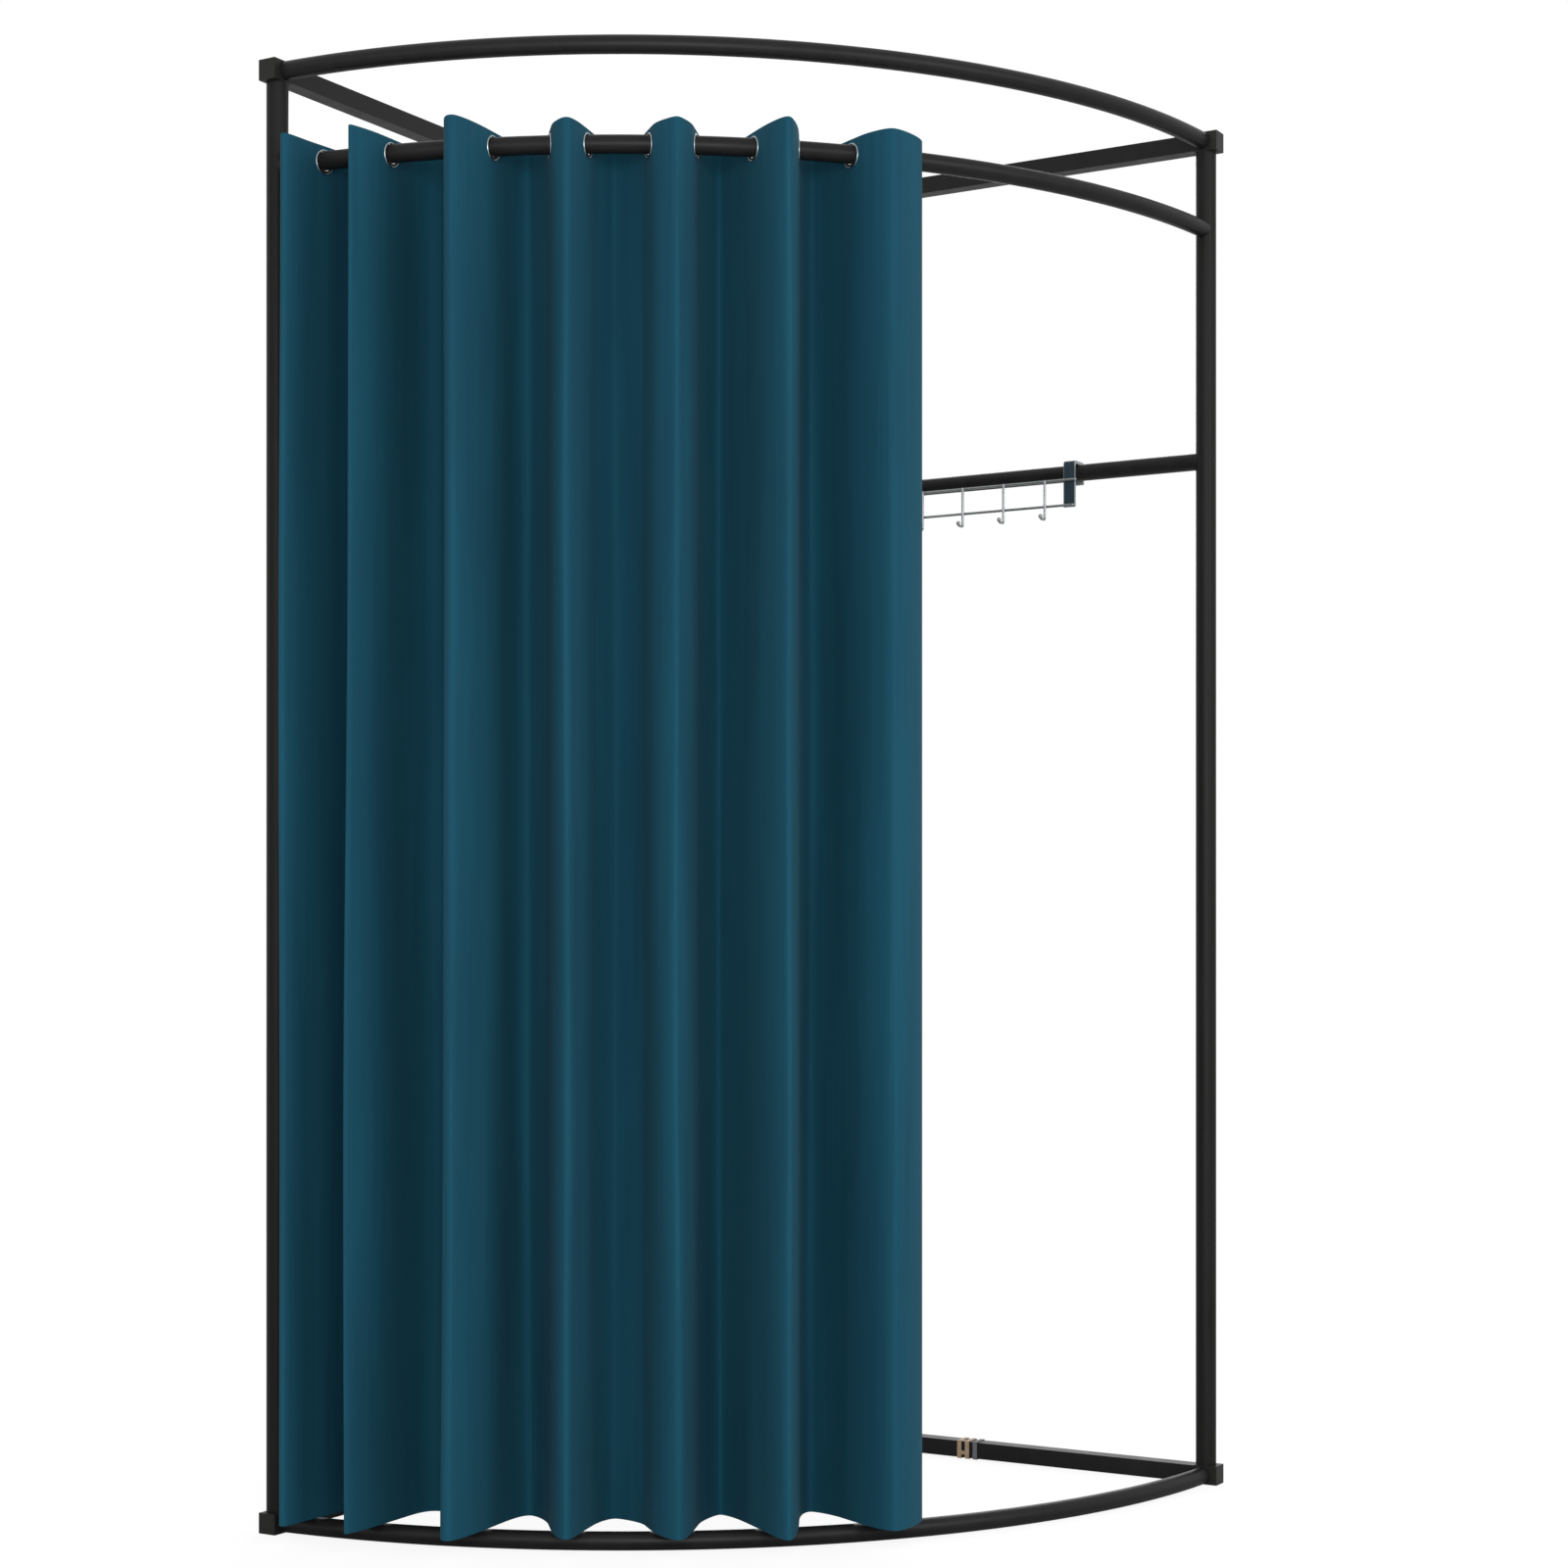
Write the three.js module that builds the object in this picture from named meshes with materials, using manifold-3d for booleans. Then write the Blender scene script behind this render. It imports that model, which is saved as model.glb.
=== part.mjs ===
// A portable corner fitting room: three posts on a right-angled plan, two square beams and a bowed
// front tube at floor and at head height, a bowed curtain rail with an eyelet curtain, and a bar
// with an over-bar hook rack. Millimetres, +Z up. The origin is under the back post, on the floor,
// and the bowed front looks along -Y.
import * as THREE from 'three';
import { mergeVertices } from 'three/addons/utils/BufferGeometryUtils.js';
import Module from 'manifold-3d';

const wasm = await Module();
wasm.setup();

// Overall frame
const frameHeight = 2000;
const legLength = 960;
const frontBow = 263;

// Tubes and blocks
const postDiameter = 30;
const tubeDiameter = 25;
const beamSide = 25;
const postWall = 1.5;
const tubeWall = 1.5;
const beamWall = 1.5;
const blockSide = 28;
const blockOuterReach = 22;
const blockInnerReach = 13;
const blockArmReach = 45;
const blockEndWall = 3;
const beamReachPastPost = 10;
const bowTubeOffset = 1;
const postSpigotLength = 40;
const bowSpigotLength = 18;
const spigotClearance = 0.7;
const fitGap = 0.3;
const cutOverrun = 2;

// Curtain rail and hanging bar
const railDrop = 143;
const railBow = 256;
const barDrop = 485;
const plugStart = 14;
const plugLength = 8;

// Fixing screws of the rail and the bar
const screwDiameter = 6;
const screwHeadDiameter = 11;
const screwHeadLength = 3;
const screwHeadSink = 0.8;
const screwSocketDiameter = 4;
const screwSocketDepth = 1.8;

// Curtain
const curtainHeading = 20;
const curtainFloorGap = 28;
const clothThickness = 1;
const foldWidth = 60;
const foldDepth = 70;
const backFoldDepth = 70;
const edgeHemLength = 16;
const foldCentreShares = [0.0369, 0.1069, 0.1956, 0.2853, 0.3776, 0.471, 0.5743];
const foldWidthShares = [0.725, 0.65, 1.033, 0.833, 1.033, 1.033, 1.64];
const foldDepthShares = [1.11, 1.2, 1.29, 0.89, 0.97, 1.26, 1.03];
const foldTipShares = [0.12, -0.08, 0, 0.08, 0.065, 0, -0.16];
const foldRoundings = [[0.3, 0.6], [0.5, 0.2], [0.5, 0.3], [0.3, 0.4], [0.2, 0.2], [0.3, 0.2], [0.3, 0.2]];
const backFoldDepthShares = [0.94, 1.1, 1.03, 0.87, 1.07, 0.99];
const backFoldTipShares = [0, -0.043, -0.071, -0.093, 0.023, 0];
const backFoldRoundings = [[0.4, 0.4], [0.7, 0.4], [0.5, 0.2], [0.3, 0.2], [0.2, 0.2], [0.3, 0.3]];
const crossingTilts = [[12, 11], [14, 11], [13, 14], [15, 14], [15, 14], [15, 15], [15, 15]]
  .map((pair) => pair.map((tilt) => THREE.MathUtils.degToRad(tilt)));

// Eyelets
const eyeletClearance = 2.1;
const eyeletSleeveWall = 0.7;
const eyeletFlangeWall = 0.8;
const eyeletFlangeReach = 1.8;
const eyeletHemMargin = 3;

// Hook rack
const rackOffset = 214.6;
const rackSpan = 354.8;
const strapWidth = 18.5;
const strapThickness = 4.5;
const strapBend = 3;
const strapDrop = 53;
const strapBackDrop = 16;
const wireDiameter = 4;
const upperWireOverhang = 7;
const upperWireDrop = 12;
const lowerWireLift = 2.5;
const hookCount = 5;
const hookPitch = 69.9;
const hookDrop = 72.6;
const hookBendRadius = 3;
const hookFootLength = 9;
const hookTipLength = 0.5;
const hookBallDiameter = 6;

// Clip and band on the lower right beam
const clipOffset = 396.6;
const clipBandWidth = 6.8;
const clipBandGap = 6.6;
const clipThickness = 1.1;
const clipBridgeHeight = 6;
const clipBridgeLift = 6.2;
const bandOffset = 376.4;
const bandWidth = 7.1;
const bandThickness = 1;

// Facets
const postSides = 16;
const tubeSides = 12;
const frontSteps = 18;
const railSteps = 36;
const flankSteps = 7;
const eyeletSides = 12;
const wireSides = 8;
const screwSides = 12;
const hookSteps = 5;
const ballSides = 8;

// Shares: how near two corners are to be one corner, of the fit gap, how far the middle of a cubic
// curve gets towards its two control points, and how far up a fold its flank is pulled along its lean
const weldShare = 0.0003;
const quarterReachShare = 0.5523;
const flankPullShare = 0.5;

// Finishes
const finish = (color, roughness, metalness) =>
  new THREE.MeshStandardMaterial({ color, roughness, metalness });
const blackCoat = () => finish(0x2f2e2f, 0.55, 0.3);
const blockCoat = () => finish(0x2a2b2b, 0.5, 0.3);
const screwBlack = () => finish(0x242424, 0.4, 0.7);
const tealCloth = () => finish(0x18485a, 0.9, 0);
const brightRing = () => finish(0xc8d7dc, 0.25, 1);
const brightWire = () => finish(0xb4b4b4, 0.35, 0.9);
const navyStrap = () => finish(0x1b2c36, 0.45, 0.4);
const tanPlastic = () => finish(0x8a7350, 0.5, 0);
const greyRubber = () => finish(0x55565a, 0.7, 0);

// Solids
function toSolid(geometry) {
  const plain = geometry.index ? geometry.toNonIndexed() : geometry.clone();
  plain.deleteAttribute('normal');
  plain.deleteAttribute('uv');
  const merged = mergeVertices(plain, fitGap * weldShare);
  return new wasm.Manifold(new wasm.Mesh({
    numProp: 3,
    vertProperties: new Float32Array(merged.attributes.position.array),
    triVerts: new Uint32Array(merged.index.array),
  }));
}

function toGeometry(solid) {
  const mesh = solid.getMesh();
  const geometry = new THREE.BufferGeometry();
  geometry.setAttribute('position', new THREE.BufferAttribute(mesh.vertProperties, 3));
  geometry.setIndex(new THREE.BufferAttribute(mesh.triVerts, 1));
  return geometry;
}

function shaped(base, { add = [], cut = [] }) {
  let solid = toSolid(base);
  for (const piece of add) solid = solid.add(toSolid(piece));
  for (const piece of cut) solid = solid.subtract(toSolid(piece));
  return toGeometry(solid);
}

const planAngle = (direction) => Math.atan2(direction.y, direction.x);

// Lays a shape drawn about +Z so that it starts at a point and runs along a level direction.
function aimed(geometry, start, direction) {
  return geometry.rotateY(Math.PI / 2).rotateZ(planAngle(direction))
    .translate(start.x, start.y, start.z);
}

function polygon(radius, sides) {
  const points = [];
  for (let k = 0; k < sides; k += 1) {
    const angle = (2 * Math.PI * k) / sides;
    points.push(new THREE.Vector2(radius * Math.cos(angle), radius * Math.sin(angle)));
  }
  return points;
}

function ringShape(outerRadius, innerRadius, sides) {
  const shape = new THREE.Shape(polygon(outerRadius, sides));
  shape.holes.push(new THREE.Path(polygon(innerRadius, sides).reverse()));
  return shape;
}

function squareShape(side) {
  const half = side / 2;
  return [[-half, -half], [half, -half], [half, half], [-half, half]]
    .map(([x, y]) => new THREE.Vector2(x, y));
}

const extruded = (shape, depth) =>
  new THREE.ExtrudeGeometry(shape, { depth, bevelEnabled: false });

const rod = (radius, length, sides) => extruded(new THREE.Shape(polygon(radius, sides)), length);

// A box between two corners
function slab(low, high) {
  const size = high.clone().sub(low);
  return new THREE.BoxGeometry(size.x, size.y, size.z)
    .translate((low.x + high.x) / 2, (low.y + high.y) / 2, (low.z + high.z) / 2);
}

const at = (x, y, z) => new THREE.Vector3(x, y, z);

function placed(name, geometry, material, position = at(0, 0, 0), turn = 0) {
  const mesh = new THREE.Mesh(geometry, material);
  mesh.name = name;
  mesh.position.copy(position);
  mesh.rotation.z = turn;
  return mesh;
}

// Plan of the frame: the back post is the right angle, and the front posts end the two legs.
const halfChord = legLength / Math.SQRT2;
const backPlan = new THREE.Vector2(0, 0);
const leftPlan = new THREE.Vector2(-halfChord, -halfChord);
const rightPlan = new THREE.Vector2(halfChord, -halfChord);

class Bow {
  constructor(rise, steps) {
    this.steps = steps;
    this.radius = (halfChord ** 2 + rise ** 2) / (2 * rise);
    this.halfAngle = Math.asin(halfChord / this.radius);
    this.centre = new THREE.Vector2(0, this.radius - rise - halfChord);
    this.length = 2 * this.halfAngle * this.radius;
  }

  // A point at an angle from the middle of the bow, counted towards +X
  point(angle, height) {
    const x = this.centre.x + this.radius * Math.sin(angle);
    return at(x, this.centre.y - this.radius * Math.cos(angle), height);
  }

  // The way that the bent tube's end runs, from the left end for a side of -1
  endDirection(side) {
    const angle = side * this.endAngle;
    return at(-side * Math.cos(angle), -side * Math.sin(angle), 0);
  }

  get endAngle() {
    return this.halfAngle * (1 - 1 / this.steps);
  }
}

class BowPath extends THREE.Curve {
  constructor(bow, height) {
    super();
    this.bow = bow;
    this.height = height;
  }

  getPoint(t, target = new THREE.Vector3()) {
    return target.copy(this.bow.point((2 * t - 1) * this.bow.halfAngle, this.height));
  }
}

const frontPath = new Bow(frontBow, frontSteps);
const railPath = new Bow(railBow, railSteps);

const railHeight = frameHeight - railDrop;
const barHeight = frameHeight - barDrop;
const postRadius = postDiameter / 2;
const postInnerRadius = postRadius - postWall;
const tubeRadius = tubeDiameter / 2;
const tubeInnerRadius = tubeRadius - tubeWall;
const blockHalf = blockSide / 2;
const socketSide = beamSide + 2 * fitGap;
const socketHalf = socketSide / 2;
const socketWall = blockHalf - socketHalf;
const lowerHeight = blockHalf;
const upperHeight = frameHeight - blockHalf;
const plugRadius = (tubeRadius + tubeInnerRadius) / 2;

// Screws: drawn along +Z, with the post's axis at 0 and the tip inside the tube's plug
const screwRadius = screwDiameter / 2;
const screwHeadRadius = screwHeadDiameter / 2;
const screwStart = -(postRadius - screwHeadSink);
const screwTip = postRadius + plugStart + plugLength - fitGap;

function turned(points, sides) {
  const profile = points.map(([radius, height]) => new THREE.Vector2(radius, height));
  return new THREE.LatheGeometry(profile, sides).rotateX(Math.PI / 2);
}

function screwShape() {
  const socketRadius = screwSocketDiameter / 2;
  return turned([
    [0, screwStart + screwSocketDepth],
    [socketRadius, screwStart + screwSocketDepth],
    [socketRadius, screwStart],
    [screwHeadRadius, screwStart],
    [screwRadius, screwStart + screwHeadLength],
    [screwRadius, screwTip],
    [0, screwTip],
  ], screwSides);
}

function screwClearance() {
  const outside = screwStart - screwHeadSink - cutOverrun;
  return turned([
    [0, outside],
    [screwHeadRadius + fitGap, outside],
    [screwHeadRadius + fitGap, screwStart],
    [screwRadius + fitGap, screwStart + screwHeadLength],
    [screwRadius + fitGap, screwTip + cutOverrun],
    [0, screwTip + cutOverrun],
  ], screwSides);
}

// Each joint of a tube and a post: the post's plan, the height and the way into the tube
const railEnds = [
  { plan: leftPlan, direction: railPath.endDirection(-1) },
  { plan: rightPlan, direction: railPath.endDirection(1) },
].map((end) => ({ ...end, height: railHeight }));
const barDirection = at(backPlan.x - rightPlan.x, backPlan.y - rightPlan.y, 0).normalize();
const barEnds = [
  { plan: rightPlan, direction: barDirection.clone() },
  { plan: backPlan, direction: barDirection.clone().negate() },
].map((end) => ({ ...end, height: barHeight }));

const endPoint = (end) => at(end.plan.x, end.plan.y, end.height);

// A tube that butts against two posts, with a threaded plug near each end
function buttedTube(tube, ends) {
  const plugs = ends.map((end) => {
    const start = endPoint(end).addScaledVector(end.direction, postRadius + plugStart);
    return aimed(rod(plugRadius, plugLength, tubeSides), start, end.direction);
  });
  const seats = ends.map((end) => rod(postRadius + fitGap, tubeDiameter + 2 * cutOverrun, postSides)
    .translate(end.plan.x, end.plan.y, end.height - tubeRadius - cutOverrun));
  const threads = ends.map((end) => aimed(screwClearance(), endPoint(end), end.direction));
  return shaped(tube, { add: plugs, cut: [...seats, ...threads] });
}

function bowedTube(bow, height) {
  return new THREE.ExtrudeGeometry(ringShape(tubeRadius, tubeInnerRadius, tubeSides), {
    steps: bow.steps,
    bevelEnabled: false,
    extrudePath: new BowPath(bow, height),
  });
}

// Posts
const postFoot = blockSide + fitGap;
const postLength = frameHeight - 2 * postFoot;

function postTube(plan, ends) {
  const tube = extruded(ringShape(postRadius, postInnerRadius, postSides), postLength);
  const holes = ends.filter((end) => end.plan === plan)
    .map((end) => aimed(screwClearance(), at(0, 0, end.height - postFoot), end.direction));
  return holes.length ? shaped(tube, { cut: holes }) : tube;
}

function makePosts() {
  const group = new THREE.Group();
  const plans = { left_front_post: leftPlan, right_front_post: rightPlan, back_post: backPlan };
  for (const [name, plan] of Object.entries(plans)) {
    const tube = postTube(plan, [...railEnds, ...barEnds]);
    group.add(placed(name, tube, blackCoat(), at(plan.x, plan.y, postFoot)));
  }
  return group;
}

// Corner blocks. A front block lies along its beam: +X points outwards, away from the back post.
const beamDirection = { left: leftPlan.clone().normalize(), right: rightPlan.clone().normalize() };
const postSpigotRadius = postInnerRadius - spigotClearance;
const bowSpigotRadius = tubeInnerRadius - spigotClearance;

function postSpigot(level) {
  const length = socketWall / 2 + postSpigotLength;
  const spigot = rod(postSpigotRadius, length, postSides);
  return spigot.translate(0, 0, blockHalf - socketWall / 2).applyMatrix4(
    new THREE.Matrix4().makeRotationX(level > 0 ? Math.PI : 0),
  );
}

// side is +1 where the bowed tube leaves on the block's +Y face, and level is +1 at the top
function frontBlock(side, level) {
  const block = slab(
    at(-blockInnerReach, -blockHalf, -blockHalf),
    at(blockOuterReach, blockHalf, blockHalf),
  );
  const socket = slab(
    at(-blockInnerReach - cutOverrun, -socketHalf, -socketHalf),
    at(blockOuterReach - blockEndWall, socketHalf, socketHalf),
  );
  const lean = frontPath.endAngle - Math.PI / 4;
  const direction = at(Math.sin(lean), side * Math.cos(lean), 0);
  const start = at(0, 0, level * bowTubeOffset)
    .addScaledVector(direction, (blockHalf - socketWall / 2) / Math.cos(lean));
  const length = socketWall / 2 + bowSpigotLength;
  const bowSpigot = aimed(rod(bowSpigotRadius, length, tubeSides), start, direction);
  return shaped(shaped(block, { cut: [socket] }), { add: [postSpigot(level), bowSpigot] });
}

function backBlock(level) {
  const legs = [
    slab(at(-blockHalf, -blockHalf, -blockHalf), at(blockArmReach, blockHalf, blockHalf)),
    slab(at(-blockHalf, -blockArmReach, -blockHalf), at(blockHalf, blockHalf, blockHalf)),
  ];
  const sockets = [
    slab(
      at(blockHalf, -socketHalf, -socketHalf),
      at(blockArmReach + cutOverrun, socketHalf, socketHalf),
    ),
    slab(
      at(-socketHalf, -blockArmReach - cutOverrun, -socketHalf),
      at(socketHalf, -blockHalf, socketHalf),
    ),
  ];
  return shaped(shaped(legs[0], { add: [legs[1]], cut: sockets }), { add: [postSpigot(level)] });
}

function makeBlocks() {
  const group = new THREE.Group();
  const levels = { lower: [lowerHeight, -1], upper: [upperHeight, 1] };
  for (const [levelName, [height, level]] of Object.entries(levels)) {
    const corners = {
      left: [leftPlan, frontBlock(1, level), planAngle(beamDirection.left)],
      right: [rightPlan, frontBlock(-1, level), planAngle(beamDirection.right)],
      back: [backPlan, backBlock(level), planAngle(beamDirection.right)],
    };
    for (const [corner, [plan, block, turn]] of Object.entries(corners)) {
      const name = `${levelName}_${corner}_block`;
      group.add(placed(name, block, blockCoat(), at(plan.x, plan.y, height), turn));
    }
  }
  return group;
}

// Beams run from the back block's socket to just past the front post's axis.
function makeBeams() {
  const group = new THREE.Group();
  const start = blockHalf + fitGap;
  const length = legLength + beamReachPastPost - start;
  const shape = new THREE.Shape(squareShape(beamSide));
  shape.holes.push(new THREE.Path(squareShape(beamSide - 2 * beamWall).reverse()));
  for (const [levelName, height] of [['lower', lowerHeight], ['upper', upperHeight]]) {
    for (const side of ['left', 'right']) {
      const beam = extruded(shape, length).rotateY(Math.PI / 2).translate(start, 0, 0);
      const turn = planAngle(beamDirection[side]);
      const centre = at(backPlan.x, backPlan.y, height);
      group.add(placed(`${levelName}_${side}_beam`, beam, blackCoat(), centre, turn));
    }
  }
  return group;
}

// Bowed front tubes end at the blocks' side faces.
function frontTube(height) {
  const reach = blockHalf + fitGap;
  const cuts = [[leftPlan, beamDirection.left], [rightPlan, beamDirection.right]]
    .map(([plan, direction]) => slab(at(-blockSide, -reach, -blockSide), at(blockSide, reach, blockSide))
      .rotateZ(planAngle(direction)).translate(plan.x, plan.y, height));
  return shaped(bowedTube(frontPath, height), { cut: cuts });
}

function makeTubes() {
  const group = new THREE.Group();
  group.add(placed('lower_front_tube', frontTube(lowerHeight - bowTubeOffset), blackCoat()));
  group.add(placed('upper_front_tube', frontTube(upperHeight + bowTubeOffset), blackCoat()));
  const rail = buttedTube(bowedTube(railPath, railHeight), railEnds);
  group.add(placed('curtain_rail', rail, blackCoat()));
  const barTube = extruded(ringShape(tubeRadius, tubeInnerRadius, tubeSides), legLength);
  const bar = buttedTube(aimed(barTube, endPoint(barEnds[0]), barDirection), barEnds);
  group.add(placed('hanging_bar', bar, blackCoat()));
  return group;
}

function makeScrews() {
  const group = new THREE.Group();
  const ends = {
    left_rail_screw: railEnds[0],
    right_rail_screw: railEnds[1],
    right_bar_screw: barEnds[0],
    back_bar_screw: barEnds[1],
  };
  for (const [name, end] of Object.entries(ends)) {
    const screw = aimed(screwShape(), at(0, 0, 0), end.direction);
    group.add(placed(name, screw, screwBlack(), endPoint(end)));
  }
  return group;
}

// Eyelets: a U-section ring that grips the cloth's hole edge
const eyeletInnerRadius = tubeRadius + eyeletClearance;
const eyeletSleeveRadius = eyeletInnerRadius + eyeletSleeveWall;
const eyeletOuterRadius = eyeletSleeveRadius + eyeletFlangeReach;
const eyeletHalf = clothThickness / 2 + fitGap + eyeletFlangeWall;
const eyeletHeight = railHeight + tubeRadius + fitGap - eyeletInnerRadius;
const clothHoleRadius = eyeletSleeveRadius + fitGap;
const crossingHalf = eyeletOuterRadius + eyeletHemMargin;

// Drawn about +X, standing on edge, with a corner of the ring at its top
function eyeletShape() {
  const lip = eyeletHalf - eyeletFlangeWall;
  const profile = [
    [eyeletInnerRadius, -eyeletHalf], [eyeletOuterRadius, -eyeletHalf],
    [eyeletOuterRadius, -lip], [eyeletSleeveRadius, -lip],
    [eyeletSleeveRadius, lip], [eyeletOuterRadius, lip],
    [eyeletOuterRadius, eyeletHalf], [eyeletInnerRadius, eyeletHalf],
    [eyeletInnerRadius, -eyeletHalf],
  ].map(([radius, height]) => new THREE.Vector2(radius, height));
  return new THREE.LatheGeometry(profile, eyeletSides).rotateZ(-Math.PI / 2);
}

// Curtain. Places along the rail are lengths from its left post, and a fold is drawn about its own
// middle: u runs along the rail and v outwards from it, both bent round the rail's centre.
const foldPlaces = foldCentreShares.map((share) => share * railPath.length);
const foldWidths = foldWidthShares.map((share) => share * foldWidth);
const foldDepths = foldDepthShares.map((share) => share * foldDepth);
const railAngle = (place) => place / railPath.radius - railPath.halfAngle;

function bent(u, v) {
  const angle = u / railPath.radius;
  const radius = railPath.radius + v;
  return new THREE.Vector2(radius * Math.sin(angle), -radius * Math.cos(angle));
}

// One bulge of cloth between two straight runs, on the side of the rail that its tip's y gives. Each
// flank leaves its run along the tilt and turns along the rail at the tip.
function bulge(width, tip, tilts, roundings) {
  const outward = Math.sign(tip.y);
  const flanks = [-1, 1].map((side, end) => {
    const lean = new THREE.Vector2(-side * Math.sin(tilts[end]), outward * Math.cos(tilts[end]));
    const start = new THREE.Vector2((side * width) / 2, 0).addScaledVector(lean, crossingHalf);
    const rise = (tip.y - start.y) / lean.y;
    const pull = start.clone().addScaledVector(lean, flankPullShare * rise);
    const ease = new THREE.Vector2(tip.x - roundings[end] * (tip.x - start.x), tip.y);
    return new THREE.CubicBezierCurve(start, pull, ease, tip).getPoints(flankSteps);
  });
  return [...flanks[0], ...flanks[1].reverse().slice(1)];
}

// A ribbon of cloth along a path in the plan, as thick as the cloth and square at both ends
function ribbon(path, endTrim) {
  const half = clothThickness / 2;
  const points = path.map((point) => point.clone());
  const last = points.length - 1;
  const inward = [[0, 1], [last, last - 1]];
  for (const [end, next] of inward) {
    const step = points[next].clone().sub(points[end]).normalize();
    points[end].addScaledVector(step, endTrim);
  }
  const sides = [[], []];
  points.forEach((point, index) => {
    const before = points[Math.max(index - 1, 0)];
    const after = points[Math.min(index + 1, last)];
    const along = after.clone().sub(before).normalize();
    const normal = new THREE.Vector2(-along.y, along.x);
    sides[0].push(point.clone().addScaledVector(normal, half));
    sides[1].push(point.clone().addScaledVector(normal, -half));
  });
  return new THREE.Shape([...sides[1], ...sides[0].reverse()]);
}

const clothHeight = railHeight + curtainHeading - curtainFloorGap;

// The straight runs that cross the rail lean by their tilts, towards the fold's middle at the front.
function frontFoldPath(index, tailLengths) {
  const width = foldWidths[index];
  const tilts = crossingTilts[index];
  const tip = new THREE.Vector2(foldTipShares[index] * width, foldDepths[index]);
  const front = bulge(width, tip, tilts, foldRoundings[index]);
  const [left, right] = [-1, 1].map((side, end) => new THREE.Vector2(
    side * (width / 2 + tailLengths[end] * Math.sin(tilts[end])),
    -tailLengths[end] * Math.cos(tilts[end]),
  ));
  return [left, ...front, right].map((point) => bent(point.x, point.y));
}

function frontFold(index) {
  const width = foldWidths[index];
  const leftTail = crossingHalf + (index === 0 ? edgeHemLength : 0);
  const rightTail = crossingHalf + (index === foldPlaces.length - 1 ? edgeHemLength : 0);
  const path = frontFoldPath(index, [leftTail, rightTail]);
  const cloth = extruded(ribbon(path, fitGap / 2), clothHeight).translate(0, 0, curtainFloorGap);
  const holes = [-1, 1].map((side, end) => {
    const middle = bent((side * width) / 2, 0);
    const turn = eyeletTurn(index, side, end);
    const length = crossingHalf;
    return rod(clothHoleRadius, length, eyeletSides).translate(0, 0, -length / 2)
      .rotateY(Math.PI / 2).rotateZ(turn).translate(middle.x, middle.y, eyeletHeight);
  });
  return shaped(cloth, { cut: holes });
}

// The eyelet's axis follows the rail, turned by the tilt that the cloth has there.
function eyeletTurn(index, side, end) {
  return side * (foldWidths[index] / 2 / railPath.radius - crossingTilts[index][end]);
}

function backFold(index) {
  const left = foldPlaces[index] + foldWidths[index] / 2;
  const right = foldPlaces[index + 1] - foldWidths[index + 1] / 2;
  const width = right - left;
  const depth = backFoldDepth * backFoldDepthShares[index];
  const tip = new THREE.Vector2(backFoldTipShares[index] * width, -depth);
  const tilts = [crossingTilts[index][1], crossingTilts[index + 1][0]];
  const path = bulge(width, tip, tilts, backFoldRoundings[index])
    .map((point) => bent(point.x, point.y));
  const cloth = extruded(ribbon(path, fitGap / 2), clothHeight).translate(0, 0, curtainFloorGap);
  return { cloth, place: (left + right) / 2 };
}

function makeCurtain() {
  const curtain = new THREE.Group();
  curtain.position.set(railPath.centre.x, railPath.centre.y, 0);
  foldPlaces.forEach((place, index) => {
    const fold = new THREE.Group();
    fold.rotation.z = railAngle(place);
    fold.add(placed(`curtain_front_fold_${index + 1}`, frontFold(index), tealCloth()));
    [-1, 1].forEach((side, end) => {
      const number = 2 * index + end + 1;
      const middle = bent((side * foldWidths[index]) / 2, 0);
      const position = at(middle.x, middle.y, eyeletHeight);
      const turn = eyeletTurn(index, side, end);
      fold.add(placed(`curtain_eyelet_${number}`, eyeletShape(), brightRing(), position, turn));
    });
    curtain.add(fold);
    if (index < foldPlaces.length - 1) {
      const back = backFold(index);
      const turn = railAngle(back.place);
      const name = `curtain_back_fold_${index + 1}`;
      curtain.add(placed(name, back.cloth, tealCloth(), at(0, 0, 0), turn));
    }
  });
  return curtain;
}

// Hook rack: drawn with +X along the bar from the right post, +Y towards the cabin's inside and
// z from the bar's axis
const strapInner = tubeRadius + fitGap;
const strapOuter = strapInner + strapThickness;
const wireRadius = wireDiameter / 2;
const wirePlane = strapOuter + fitGap + wireRadius;
const hookPlane = wirePlane + wireDiameter + fitGap;

function strapShape() {
  const outline = [
    [strapInner, -strapDrop], [strapOuter, -strapDrop],
    [strapOuter, strapOuter - strapBend], [strapOuter - strapBend, strapOuter],
    [-strapOuter + strapBend, strapOuter], [-strapOuter, strapOuter - strapBend],
    [-strapOuter, -strapBackDrop], [-strapInner, -strapBackDrop],
    [-strapInner, strapInner - strapBend], [-strapInner + strapBend, strapInner],
    [strapInner - strapBend, strapInner], [strapInner, strapInner - strapBend],
  ].map(([y, z]) => new THREE.Vector2(y, z));
  return extruded(new THREE.Shape(outline), strapWidth)
    .rotateX(Math.PI / 2).rotateZ(Math.PI / 2).translate(-strapWidth / 2, 0, 0);
}

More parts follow.
